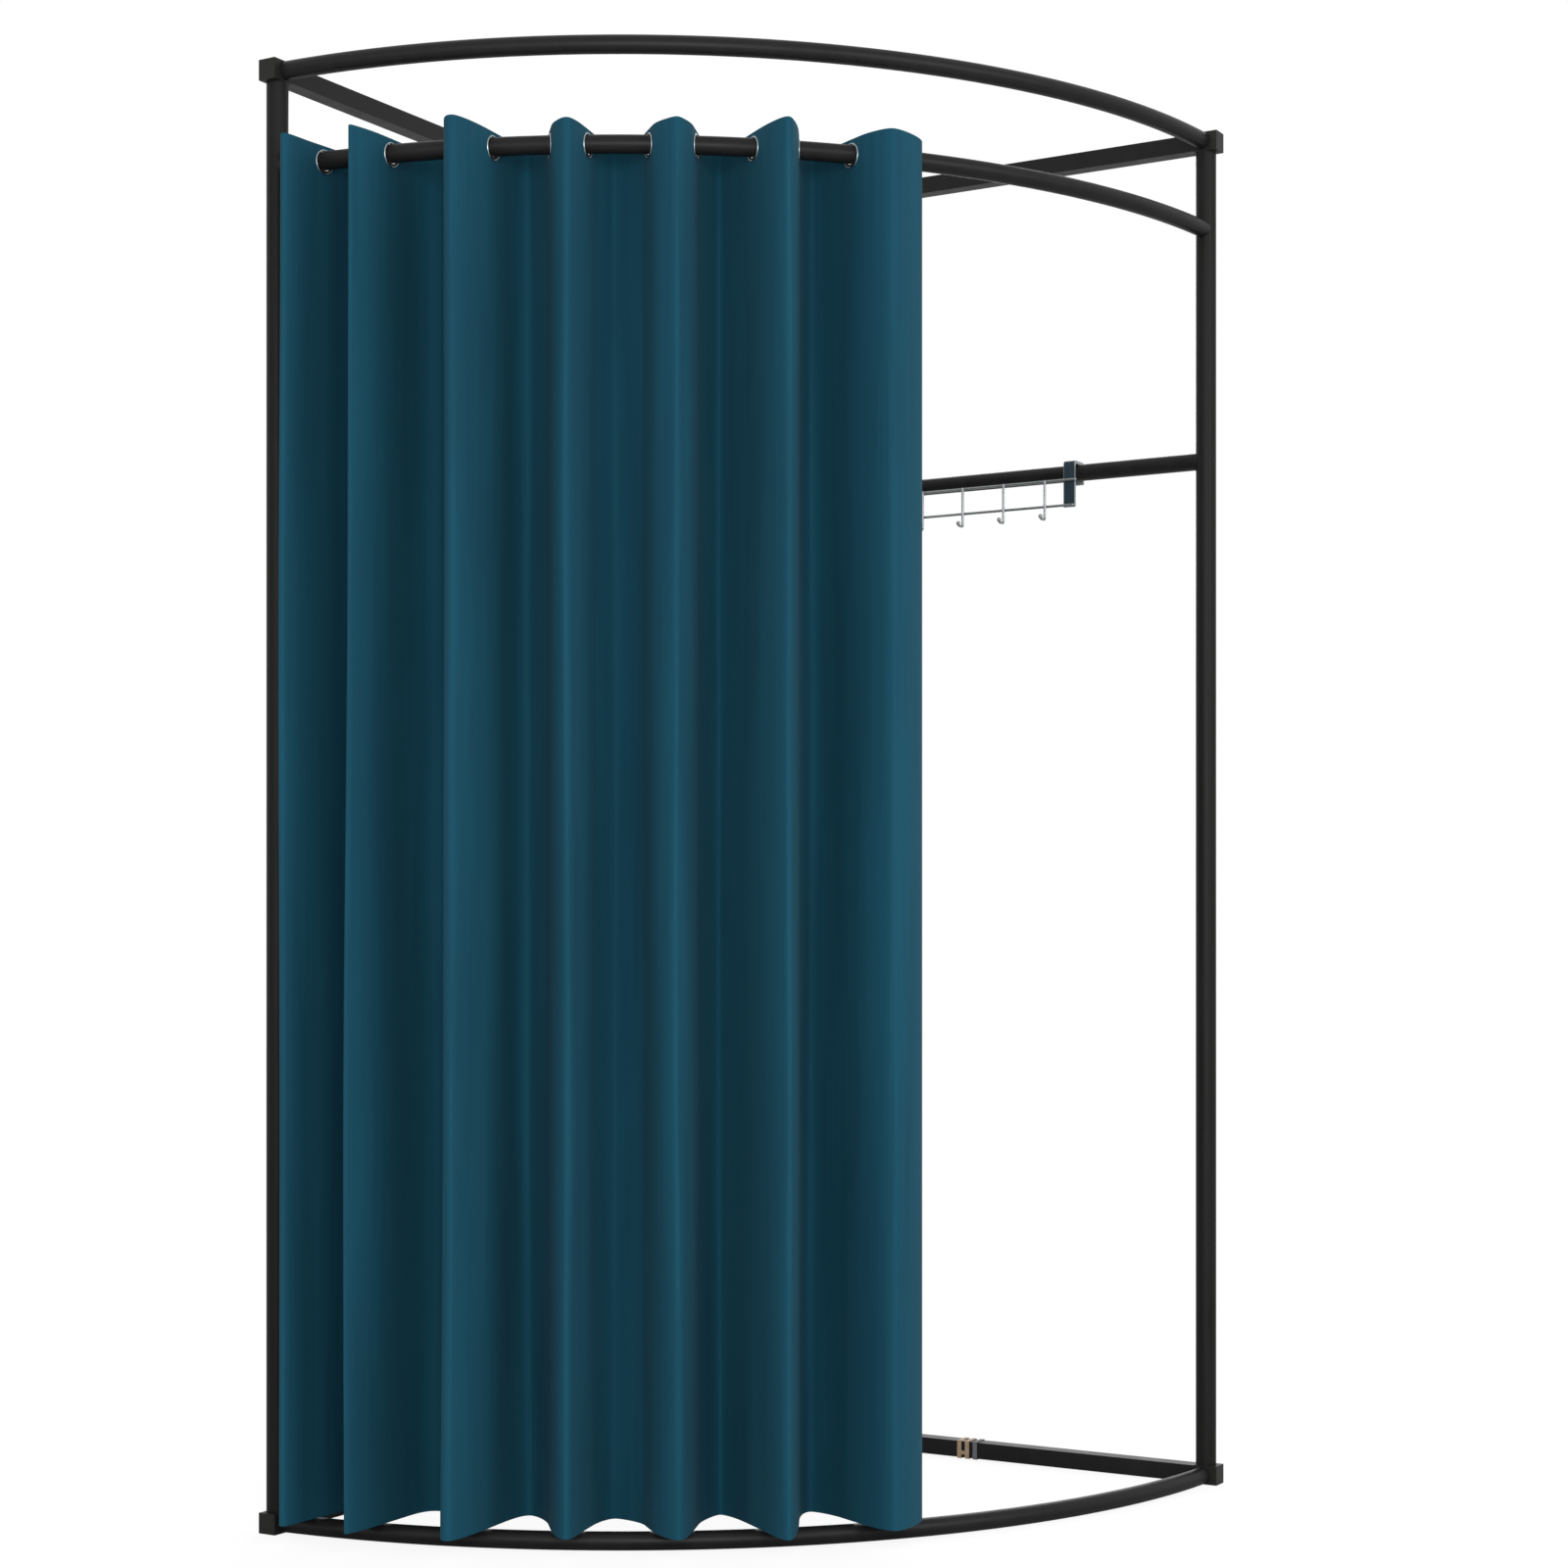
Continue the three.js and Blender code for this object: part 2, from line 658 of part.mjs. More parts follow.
// A hook: down from the upper wire, level towards the inside and a short way up again
class HookPath extends THREE.CurvePath {
  constructor(top, bottom) {
    super();
    const pull = hookBendRadius * quarterReachShare;
    const bend = bottom + hookBendRadius;
    const footStart = hookBendRadius;
    const footEnd = hookBendRadius + hookFootLength;
    const tip = footEnd + hookBendRadius;
    this.add(new THREE.LineCurve3(at(0, 0, top), at(0, 0, bend)));
    this.add(new THREE.CubicBezierCurve3(
      at(0, 0, bend),
      at(0, 0, bend - pull),
      at(0, footStart - pull, bottom),
      at(0, footStart, bottom),
    ));
    this.add(new THREE.CubicBezierCurve3(
      at(0, footEnd, bottom),
      at(0, footEnd + pull, bottom),
      at(0, tip, bend - pull),
      at(0, tip, bend),
    ));
    this.add(new THREE.LineCurve3(at(0, tip, bend), at(0, tip, bend + hookTipLength)));
  }
}

// A wire swept through a list of points, one ring of corners at each
function sweptWire(points, radius) {
  const rings = points.map((point, index) => {
    const before = points[Math.max(index - 1, 0)];
    const after = points[Math.min(index + 1, points.length - 1)];
    const along = after.clone().sub(before).normalize();
    const side = at(1, 0, 0);
    const up = side.clone().cross(along);
    return polygon(radius, wireSides).map((corner) => point.clone()
      .addScaledVector(side, corner.x).addScaledVector(up, corner.y));
  });
  const corners = [points[0], ...rings.flat(), points[points.length - 1]];
  const index = [];
  const corner = (ring, side) => 1 + ring * wireSides + (side % wireSides);
  for (let side = 0; side < wireSides; side += 1) {
    index.push(0, corner(0, side), corner(0, side + 1));
    for (let ring = 0; ring + 1 < rings.length; ring += 1) {
      index.push(corner(ring, side), corner(ring + 1, side), corner(ring + 1, side + 1));
      index.push(corner(ring, side), corner(ring + 1, side + 1), corner(ring, side + 1));
    }
    const last = rings.length - 1;
    index.push(corners.length - 1, corner(last, side + 1), corner(last, side));
  }
  const geometry = new THREE.BufferGeometry().setFromPoints(corners);
  geometry.setIndex(index);
  return geometry;
}

function hookShape() {
  const path = new HookPath(wireRadius - upperWireDrop, wireRadius - hookDrop);
  const [shank, heel, toe, tip] = path.curves;
  const heelPoints = heel.getPoints(hookSteps);
  const toePoints = toe.getPoints(hookSteps);
  const wire = sweptWire([shank.v1, ...heelPoints, ...toePoints, tip.v2], wireRadius);
  const ball = new THREE.SphereGeometry(hookBallDiameter / 2, ballSides, ballSides / 2)
    .translate(tip.v2.x, tip.v2.y, tip.v2.z);
  return shaped(wire, { add: [ball] });
}

function makeHookRack() {
  const rack = new THREE.Group();
  rack.position.copy(endPoint(barEnds[0])).addScaledVector(barDirection, rackOffset);
  rack.rotation.z = planAngle(barDirection);
  const strapPlaces = { right_strap: 0, left_strap: rackSpan };
  for (const [name, place] of Object.entries(strapPlaces)) {
    rack.add(placed(`rack_${name}`, strapShape(), navyStrap(), at(place, 0, 0)));
  }
  const wires = {
    upper_wire: { height: -upperWireDrop, reach: strapWidth / 2 + upperWireOverhang },
    lower_wire: { height: lowerWireLift - strapDrop, reach: strapWidth / 2 },
  };
  for (const [name, { height, reach }] of Object.entries(wires)) {
    const wire = rod(wireRadius, rackSpan + 2 * reach, wireSides).rotateY(Math.PI / 2);
    rack.add(placed(`rack_${name}`, wire, brightWire(), at(-reach, wirePlane, height)));
  }
  const firstHook = (rackSpan - (hookCount - 1) * hookPitch) / 2;
  for (let k = 0; k < hookCount; k += 1) {
    const position = at(firstHook + k * hookPitch, hookPlane, 0);
    rack.add(placed(`rack_hook_${k + 1}`, hookShape(), brightWire(), position));
  }
  return rack;
}

// The clip and the band wrap round the lower right beam, at lengths from the right post's axis.
function wrap(width, thickness) {
  const inner = beamSide + 2 * fitGap;
  const shape = new THREE.Shape(squareShape(inner + 2 * thickness));
  shape.holes.push(new THREE.Path(squareShape(inner).reverse()));
  return extruded(shape, width).rotateY(Math.PI / 2);
}

function clipShape() {
  const pitch = clipBandWidth + clipBandGap;
  const inner = beamSide / 2 + fitGap;
  const outer = inner + clipThickness;
  const bridgeLow = -outer + clipBridgeLift;
  const overlap = clipBandWidth / 2;
  const front = slab(
    at(overlap, -outer, bridgeLow),
    at(pitch + overlap, -inner, bridgeLow + clipBridgeHeight),
  );
  const top = slab(
    at(overlap, -outer, inner),
    at(pitch + overlap, -outer + clipBridgeHeight, outer),
  );
  const bands = wrap(clipBandWidth, clipThickness);
  const second = wrap(clipBandWidth, clipThickness).translate(pitch, 0, 0);
  return shaped(bands, { add: [second, front, top] });
}

function makeBeamWraps() {
  const group = new THREE.Group();
  group.position.set(backPlan.x, backPlan.y, lowerHeight);
  group.rotation.z = planAngle(beamDirection.right);
  const clipWidth = 2 * clipBandWidth + clipBandGap;
  const clipStart = legLength - clipOffset - clipWidth / 2;
  const bandStart = legLength - bandOffset - bandWidth / 2;
  group.add(placed('beam_clip', clipShape(), tanPlastic(), at(clipStart, 0, 0)));
  group.add(placed('beam_band', wrap(bandWidth, bandThickness), greyRubber(), at(bandStart, 0, 0)));
  return group;
}

const fittingRoom = new THREE.Group();
fittingRoom.add(
  makePosts(),
  makeBlocks(),
  makeBeams(),
  makeTubes(),
  makeScrews(),
  makeCurtain(),
  makeHookRack(),
  makeBeamWraps(),
);

export default fittingRoom;
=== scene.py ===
"""A portable corner fitting room: black tube frame, eyelet curtain on a bowed rail, and a hook rack.

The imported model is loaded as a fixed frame. The square beams, the corner blocks and the small wraps
keep their solids and get softened edges and finishes. The round tubes, the screws, the curtain with
its eyelets and the hook rack are built here as finer pieces in the same places.
"""
import logging
import math
from bisect import bisect_right
from dataclasses import dataclass, field
from enum import Enum
from typing import Callable, Iterable, Protocol, Sequence

import bpy
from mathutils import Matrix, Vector


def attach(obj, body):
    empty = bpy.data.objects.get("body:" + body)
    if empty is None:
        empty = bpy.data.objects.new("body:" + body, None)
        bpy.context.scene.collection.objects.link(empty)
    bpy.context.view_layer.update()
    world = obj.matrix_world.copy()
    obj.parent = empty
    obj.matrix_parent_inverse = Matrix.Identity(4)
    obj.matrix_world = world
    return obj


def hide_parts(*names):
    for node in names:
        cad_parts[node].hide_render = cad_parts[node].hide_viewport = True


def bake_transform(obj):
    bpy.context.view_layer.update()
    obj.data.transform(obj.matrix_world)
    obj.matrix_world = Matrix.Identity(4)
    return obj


LOG = logging.getLogger("fitting_room")

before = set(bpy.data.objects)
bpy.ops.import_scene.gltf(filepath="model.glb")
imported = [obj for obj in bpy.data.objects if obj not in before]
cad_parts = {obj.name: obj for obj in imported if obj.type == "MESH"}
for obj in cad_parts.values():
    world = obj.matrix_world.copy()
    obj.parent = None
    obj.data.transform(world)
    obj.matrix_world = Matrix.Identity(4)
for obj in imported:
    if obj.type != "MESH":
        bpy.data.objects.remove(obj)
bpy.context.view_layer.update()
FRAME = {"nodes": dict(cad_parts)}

SAME_PLACE = 1e-6
NO_LENGTH = 1e-5
TURNED_CREASE = 30.0

Colour = tuple[float, float, float, float]
Face = tuple[int, ...]
Turn = Callable[[float, float, float], Vector]


class Body(Enum):
    """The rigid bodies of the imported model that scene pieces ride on."""

    FRAME = "frame"
    RACK = "hook_rack"

    @staticmethod
    def of_fold(number: int) -> str:
        """The body that carries a front fold, counted from 1 at the left post."""
        return Body.FRAME.value if number == 1 else f"fold_{number}"


class Side(Enum):
    """The two ends of the bowed front."""

    LEFT = -1
    RIGHT = 1


class Slot(Enum):
    """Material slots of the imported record."""

    BLACK_COAT = "black_coat"
    BLOCK_COAT = "block_coat"
    SCREW_BLACK = "screw_black"
    TEAL_CLOTH = "teal_cloth"
    BRIGHT_RING = "bright_ring"
    BRIGHT_WIRE = "bright_wire"
    NAVY_STRAP = "navy_strap"
    TAN_PLASTIC = "tan_plastic"
    GREY_RUBBER = "grey_rubber"


# Shading


def linear(code: str) -> Colour:
    """Turns a six-digit colour code into linear red, green, blue and alpha.

    Args:
        code: the colour as six hexadecimal digits.

    Returns:
        The linear colour.
    """
    channels = [int(code[k : k + 2], 16) / 255 for k in (0, 2, 4)]
    red, green, blue = (c / 12.92 if c <= 0.04045 else ((c + 0.055) / 1.055) ** 2.4 for c in channels)
    return (red, green, blue, 1.0)


def darker(colour: Colour, share: float) -> Colour:
    """A share of a linear colour, with its alpha kept."""
    return (colour[0] * share, colour[1] * share, colour[2] * share, colour[3])


class ShaderBench:
    """One material with a Principled shader, and short ways to wire nodes into it."""

    def __init__(self, name: str) -> None:
        """Makes the material and finds its shader.

        Args:
            name: the material's name.
        """
        self.material = bpy.data.materials.new(name)
        self.material.use_nodes = True
        self.tree = self.material.node_tree
        self.shader = self.tree.nodes["Principled BSDF"]

    def node(self, kind: str, **values: object) -> bpy.types.Node:
        """Adds a node.

        Args:
            kind: the node's type name.
            values: settings of the node, or values of its inputs with underscores for spaces.

        Returns:
            The new node.
        """
        made = self.tree.nodes.new(kind)
        for key, value in values.items():
            if hasattr(made, key):
                setattr(made, key, value)
            else:
                made.inputs[key.replace("_", " ")].default_value = value
        return made

    def link(self, source: bpy.types.NodeSocket, target: bpy.types.NodeSocket) -> None:
        """Joins an output to an input."""
        self.tree.links.new(source, target)

    def place(self, scale: Sequence[float], source: str = "Object") -> bpy.types.NodeSocket:
        """Texture coordinates.

        Args:
            scale: repeats per metre along each axis.
            source: which of the Texture Coordinate outputs to use.

        Returns:
            The scaled coordinates.
        """
        coordinates = self.node("ShaderNodeTexCoord")
        mapping = self.node("ShaderNodeMapping", Scale=tuple(scale))
        self.link(coordinates.outputs[source], mapping.inputs["Vector"])
        return mapping.outputs["Vector"]

    def noise(self, vector: bpy.types.NodeSocket, detail: float = 3.0) -> bpy.types.NodeSocket:
        """Noise of about one grain per unit of the coordinates.

        Args:
            vector: the coordinates.
            detail: how many finer layers it has.

        Returns:
            The noise, from 0 to 1.
        """
        made = self.node("ShaderNodeTexNoise", Scale=1.0, Detail=detail, Roughness=0.55)
        self.link(vector, made.inputs["Vector"])
        return made.outputs["Fac"]

    def spread(
        self, source: bpy.types.NodeSocket, low: float, high: float, start: float = 0.25, end: float = 0.75
    ) -> bpy.types.NodeSocket:
        """Spreads values between start and end over low to high.

        Args:
            source: the value.
            low: result at the start.
            high: result at the end.
            start: value that gives low.
            end: value that gives high.

        Returns:
            The spread value.
        """
        made = self.node(
            "ShaderNodeMapRange", From_Min=start, From_Max=end, To_Min=low, To_Max=high, clamp=True
        )
        self.link(source, made.inputs["Value"])
        return made.outputs["Result"]

    def tint(self, factor: bpy.types.NodeSocket, first: Colour, second: Colour) -> bpy.types.NodeSocket:
        """Mixes two colours by a factor.

        Args:
            factor: share of the second colour.
            first: the first colour.
            second: the second colour.

        Returns:
            The mixed colour.
        """
        made = self.node("ShaderNodeMix", data_type="RGBA")
        made.inputs[6].default_value = first
        made.inputs[7].default_value = second
        self.link(factor, made.inputs["Factor"])
        return made.outputs[2]

    def sum(self, first: bpy.types.NodeSocket, second: bpy.types.NodeSocket) -> bpy.types.NodeSocket:
        """Adds two values.

        Args:
            first: the first value.
            second: the second value.

        Returns:
            The sum.
        """
        made = self.node("ShaderNodeMath", operation="ADD")
        self.link(first, made.inputs[0])
        self.link(second, made.inputs[1])
        return made.outputs[0]

    def times(self, source: bpy.types.NodeSocket, factor: float) -> bpy.types.NodeSocket:
        """Multiplies a value.

        Args:
            source: the value.
            factor: what it is multiplied by.

        Returns:
            The product.
        """
        made = self.node("ShaderNodeMath", operation="MULTIPLY")
        self.link(source, made.inputs[0])
        made.inputs[1].default_value = factor
        return made.outputs[0]

    def relief(self, height: bpy.types.NodeSocket, strength: float, distance: float) -> None:
        """Bumps the surface by a height.

        Args:
            height: the height.
            strength: how strongly the bump shows, from 0 to 1.
            distance: depth of a height of 1, in metres.
        """
        bump = self.node("ShaderNodeBump", Strength=strength, Distance=distance)
        self.link(height, bump.inputs["Height"])
        self.link(bump.outputs["Normal"], self.shader.inputs["Normal"])

    def drive(self, name: str, source: bpy.types.NodeSocket) -> None:
        """Wires a value into one of the shader's inputs."""
        self.link(source, self.shader.inputs[name])

    def fix(self, **values: object) -> None:
        """Sets constants on the shader's own inputs, with underscores for spaces."""
        for key, value in values.items():
            self.shader.inputs[key.replace("_", " ")].default_value = value


class Finish(Protocol):
    """A finish makes one material."""

    name: str
    slot: Slot

    def material(self) -> bpy.types.Material:
        """Makes the material.

        Returns:
            The finished material.
        """


@dataclass(frozen=True)
class PowderCoat:
    """Matte powder coat with a fine orange peel and a little unevenness."""

    name: str
    slot: Slot
    deep: str = "151414"
    worn: str = "1b1a1a"
    roughness: tuple[float, float] = (0.34, 0.46)
    specular: float = 0.14
    unevenness: tuple[float, float, float] = (38.0, 38.0, 7.0)
    peel: float = 900.0
    peel_strength: float = 0.25
    peel_depth: float = 0.00025

    def material(self) -> bpy.types.Material:
        """Makes the material.

        Returns:
            The finished material.
        """
        bench = ShaderBench(self.name)
        clouds = bench.noise(bench.place(self.unevenness), 4.0)
        peel = bench.noise(bench.place((self.peel,) * 3), 2.0)
        tone = bench.tint(bench.spread(clouds, 0.0, 1.0), linear(self.deep), linear(self.worn))
        bench.drive("Base Color", tone)
        bench.drive("Roughness", bench.spread(clouds, *self.roughness))
        bench.relief(peel, self.peel_strength, self.peel_depth)
        bench.fix(Specular_IOR_Level=self.specular)
        return bench.material


@dataclass(frozen=True)
class CurtainCloth:
    """Plain-woven teal cloth: crossing threads, slubs along the warp and a soft sheen."""

    name: str = "curtain_cloth"
    slot: Slot = Slot.TEAL_CLOTH
    light: str = "134556"
    deep: str = "103b4b"
    threads: float = 1500.0
    slub_scale: tuple[float, float, float] = (260.0, 3.0, 1.0)
    slub_share: float = 0.45
    broad_scale: tuple[float, float, float] = (14.0, 1.6, 1.0)
    broad_share: float = 0.55
    mottle_range: tuple[float, float] = (0.35, 0.65)
    roughness: tuple[float, float] = (0.8, 0.92)
    weave_share: float = 0.5
    slub_height: float = 0.8
    relief_strength: float = 0.3
    relief_depth: float = 0.00012
    sheen: float = 0.03
    sheen_roughness: float = 0.5
    sheen_tint: str = "9fc4d0"
    specular: float = 0.1

    def material(self) -> bpy.types.Material:
        """Makes the material.

        Returns:
            The finished material.
        """
        bench = ShaderBench(self.name)
        slubs = bench.noise(bench.place(self.slub_scale, "UV"), 3.0)
        broad = bench.noise(bench.place(self.broad_scale, "UV"), 2.0)
        mottle = bench.sum(bench.times(slubs, self.slub_share), bench.times(broad, self.broad_share))
        shade = bench.spread(mottle, 0.0, 1.0, *self.mottle_range)
        bench.drive("Base Color", bench.tint(shade, linear(self.deep), linear(self.light)))
        bench.drive("Roughness", bench.spread(slubs, *self.roughness))
        warp = self._threads(bench, (self.threads, 0, 0))
        weft = self._threads(bench, (0, self.threads, 0))
        weave = bench.times(bench.sum(warp, weft), self.weave_share)
        height = bench.sum(weave, bench.times(slubs, self.slub_height))
        bench.relief(height, self.relief_strength, self.relief_depth)
        bench.fix(Sheen_Weight=self.sheen, Sheen_Roughness=self.sheen_roughness)
        bench.fix(Sheen_Tint=linear(self.sheen_tint), Specular_IOR_Level=self.specular)
        return bench.material

    def _threads(self, bench: ShaderBench, scale: Sequence[float]) -> bpy.types.NodeSocket:
        """Rounded threads side by side along one direction of the cloth's flat size.

        Args:
            bench: the material's bench.
            scale: threads per metre along each direction.

        Returns:
            The threads' height.
        """
        wave = bench.node("ShaderNodeTexWave", wave_type="BANDS", bands_direction="DIAGONAL", Scale=0.1)
        bench.link(bench.place(scale, "UV"), wave.inputs["Vector"])
        return wave.outputs["Fac"]


@dataclass(frozen=True)
class BrightMetal:
    """Plated metal with faint brushing."""

    name: str
    slot: Slot
    colour: str
    roughness: tuple[float, float]
    brushing: tuple[float, float, float] = (160.0, 160.0, 900.0)
    shade_share: float = 0.86
    relief_strength: float = 0.1
    relief_depth: float = 0.00005

    def material(self) -> bpy.types.Material:
        """Makes the material.

        Returns:
            The finished material.
        """
        bench = ShaderBench(self.name)
        brushing = bench.noise(bench.place(self.brushing), 3.0)
        tone = linear(self.colour)
        shade = darker(tone, self.shade_share)
        bench.drive("Base Color", bench.tint(bench.spread(brushing, 0.0, 1.0), shade, tone))
        bench.drive("Roughness", bench.spread(brushing, *self.roughness))
        bench.relief(brushing, self.relief_strength, self.relief_depth)
        bench.fix(Metallic=1.0)
        return bench.material


@dataclass(frozen=True)
class StrapPaint:
    """Dark satin paint with a little unevenness."""

    name: str = "strap_paint"
    slot: Slot = Slot.NAVY_STRAP
    colour: str = "182a34"
    shade_share: float = 0.75
    unevenness: float = 90.0
    roughness: tuple[float, float] = (0.4, 0.52)
    peel: float = 1200.0
    peel_strength: float = 0.15
    peel_depth: float = 0.0001
    specular: float = 0.35

    def material(self) -> bpy.types.Material:
        """Makes the material.

        Returns:
            The finished material.
        """
        bench = ShaderBench(self.name)
        clouds = bench.noise(bench.place((self.unevenness,) * 3), 4.0)
        tone = linear(self.colour)
        shade = darker(tone, self.shade_share)
        bench.drive("Base Color", bench.tint(bench.spread(clouds, 0.0, 1.0), shade, tone))
        bench.drive("Roughness", bench.spread(clouds, *self.roughness))
        peel = bench.noise(bench.place((self.peel,) * 3), 2.0)
        bench.relief(peel, self.peel_strength, self.peel_depth)
        bench.fix(Specular_IOR_Level=self.specular)
        return bench.material


@dataclass(frozen=True)
class SoftPlastic:
    """Moulded plastic or rubber with a fine spark-eroded grain; also used for the painted shade in the
    eyelets' bores.
    """

    name: str
    slot: Slot
    light: str
    deep: str
    roughness: tuple[float, float] = (0.5, 0.66)
    grain: float = 1400.0
    unevenness: float = 240.0
    relief_strength: float = 0.2
    relief_depth: float = 0.0001

    def material(self) -> bpy.types.Material:
        """Makes the material.

        Returns:
            The finished material.
        """
        bench = ShaderBench(self.name)
        grain = bench.noise(bench.place((self.grain,) * 3), 2.0)
        clouds = bench.noise(bench.place((self.unevenness,) * 3), 3.0)
        tone = bench.tint(bench.spread(clouds, 0.0, 1.0), linear(self.deep), linear(self.light))
        bench.drive("Base Color", tone)
        bench.drive("Roughness", bench.spread(grain, *self.roughness))
        bench.relief(grain, self.relief_strength, self.relief_depth)
        return bench.material


FRAME_COAT = PowderCoat("frame_coat", Slot.BLACK_COAT)
# Painted shade: a slightly darker copy of the frame's powder coat, with less shine, so the posts look more
# shaded than the tubes.
SHADED_POST_COAT = PowderCoat("post_coat_painted_shade", Slot.BLACK_COAT, "141413", "1a1919", (0.34, 0.46), 0.09)
BLOCK_COAT = PowderCoat("block_coat", Slot.BLOCK_COAT, "191918", "212120", (0.42, 0.52))
SCREW_COAT = PowderCoat("screw_coat", Slot.SCREW_BLACK, "1a1a1a", "242424", (0.3, 0.4), 0.5)
CLOTH = CurtainCloth()
RING_METAL = BrightMetal("ring_metal", Slot.BRIGHT_RING, "a4adb1", (0.24, 0.36))
# Painted shade: a dark grained finish for the eyelets' bore faces, standing in for the shade inside the
# rings.
RING_BORE_PAINTED_SHADE = SoftPlastic("ring_bore_painted_shade", Slot.BRIGHT_RING, "2b2f31", "212426")
WIRE_METAL = BrightMetal("wire_metal", Slot.BRIGHT_WIRE, "989b9c", (0.34, 0.46))
STRAP_METAL = BrightMetal("strap_metal", Slot.NAVY_STRAP, "a7adb1", (0.5, 0.62))
STRAP_PAINT = StrapPaint()
CLIP_PLASTIC = SoftPlastic("clip_plastic", Slot.TAN_PLASTIC, "a08b72", "826c55")
BAND_RUBBER = SoftPlastic("band_rubber", Slot.GREY_RUBBER, "606166", "4b4c50", (0.6, 0.75))


class PaintShop:
    """Makes each finish's material once and puts it on pieces."""

    def __init__(self) -> None:
        """Starts with no material made."""
        self.made: dict[str, bpy.types.Material] = {}

    def coat(self, piece: bpy.types.Object, *finishes: Finish) -> bpy.types.Object:
        """Puts one or more finishes on a piece, in the order of its faces' material numbers.

        Args:
            piece: the object to finish.
            finishes: the finishes.

        Returns:
            The same object.
        """
        for finish in finishes:
            if finish.name not in self.made:
                self.made[finish.name] = finish.material()
        if piece.data.materials:
            for number, finish in enumerate(finishes):
                piece.material_slots[number].material = self.made[finish.name]
        else:
            for finish in finishes:
                piece.data.materials.append(self.made[finish.name])
        return piece


# Meshes


@dataclass
class Skin:
    """Corners and faces of one mesh, grown ring by ring."""

    corners: list[Vector] = field(default_factory=list)
    faces: list[Face] = field(default_factory=list)

    def ring(self, points: Iterable[Vector]) -> list[int]:
        """Adds points and gives their numbers.

        Args:
            points: the corners.

        Returns:
            Their numbers.
        """
        first = len(self.corners)
        self.corners.extend(points)
        return list(range(first, len(self.corners)))

    def bridge(self, first: Sequence[int], second: Sequence[int]) -> None:
        """Joins two closed rings of one size with quads.

        Args:
            first: numbers of the first ring.
            second: numbers of the second ring.
        """
        count = len(first)
        for k in range(count):
            after = (k + 1) % count
            self.faces.append((first[k], first[after], second[after], second[k]))

    def fan(self, ring: Sequence[int], middle: Vector, outward: bool) -> None:
        """Closes a ring with triangles round a middle point.

        Args:
            ring: numbers of the ring.
            middle: the point in its middle.
            outward: whether the triangles keep the ring's direction.
        """
        centre = self.ring([middle])[0]
        count = len(ring)
        for k in range(count):
            pair = (ring[k], ring[(k + 1) % count])
            self.faces.append((*pair, centre) if outward else (*reversed(pair), centre))

    def piece(self, name: str, crease: float = 35.0) -> bpy.types.Object:
        """Makes the object.

        Args:
            name: the object's name.
            crease: edges sharper than this angle, in degrees, stay sharp.

        Returns:
            The object, in the scene.
        """
        mesh = bpy.data.meshes.new(name)
        mesh.from_pydata([tuple(c) for c in self.corners], [], self.faces)
        mesh.validate()
        mesh.shade_smooth()
        mesh.set_sharp_from_angle(angle=math.radians(crease))
        made = bpy.data.objects.new(name, mesh)
        bpy.context.scene.collection.objects.link(made)
        return made


def lathe(profile: Sequence[tuple[float, float]], sides: int, turn: Turn) -> Skin:
    """Turns a profile round an axis.

    Args:
        profile: radius and height of each point; a closed loop, or one that starts and ends on the axis.
        sides: corners round the axis.
        turn: gives a corner from its radius, its height and its angle.

    Returns:
        The turned skin.
    """
    skin = Skin()
    angles = [2 * math.pi * k / sides for k in range(sides)]
    closed = profile[0][0] > 0
    points = list(profile) if closed else list(profile[1:-1])
    rings = [skin.ring(turn(radius, height, angle) for angle in angles) for radius, height in points]
    for first, second in zip(rings, rings[1:]):
        skin.bridge(first, second)
    if closed:
        skin.bridge(rings[-1], rings[0])
    else:
        skin.fan(rings[0], turn(0.0, profile[0][1], 0.0), False)
        skin.fan(rings[-1], turn(0.0, profile[-1][1], 0.0), True)
    return skin


# The frame's plan


@dataclass(frozen=True)
class Bow:
    """A tube's axis that bows across the front, from the left post's axis to the right post's."""

    rise: float
    half_chord: float

    @property
    def radius(self) -> float:
        """Radius of the bow."""
        return (self.half_chord**2 + self.rise**2) / (2 * self.rise)

    @property
    def half_angle(self) -> float:
        """Angle from the bow's middle to either end."""
        return math.asin(self.half_chord / self.radius)

    @property
    def centre(self) -> Vector:
        """Centre of the bow, on the floor."""
        return Vector((0.0, self.radius - self.rise - self.half_chord, 0.0))

    @property
    def length(self) -> float:
        """Length of the bow."""
        return 2 * self.half_angle * self.radius

    def across(self, place: float) -> Vector:
        """Outward direction at a length from the left end."""
        angle = place / self.radius - self.half_angle
        return Vector((math.sin(angle), -math.cos(angle), 0.0))

    def along(self, place: float) -> Vector:
        """Direction of travel at a length from the left end."""
        outward = self.across(place)
        return Vector((-outward.y, outward.x, 0.0))

    def point(self, place: float, outward: float = 0.0) -> Vector:
        """A point at a length from the left end, moved outwards."""
        return self.centre + self.across(place) * (self.radius + outward)


@dataclass(frozen=True)
class Straight:
    """A straight tube's axis between two points."""

    start: Vector
    end: Vector

    @property
    def length(self) -> float:
        """Length of the axis."""
        return (self.end - self.start).length

    def along(self, place: float) -> Vector:
        """Direction of travel, which is the same everywhere."""
        return (self.end - self.start).normalized()

    def across(self, place: float) -> Vector:
        """Level direction across the axis."""
        along = self.along(place)
        return Vector((along.y, -along.x, 0.0))

    def point(self, place: float, outward: float = 0.0) -> Vector:
        """A point at a length from the start, moved across."""
        return self.start + self.along(place) * place + self.across(place) * outward


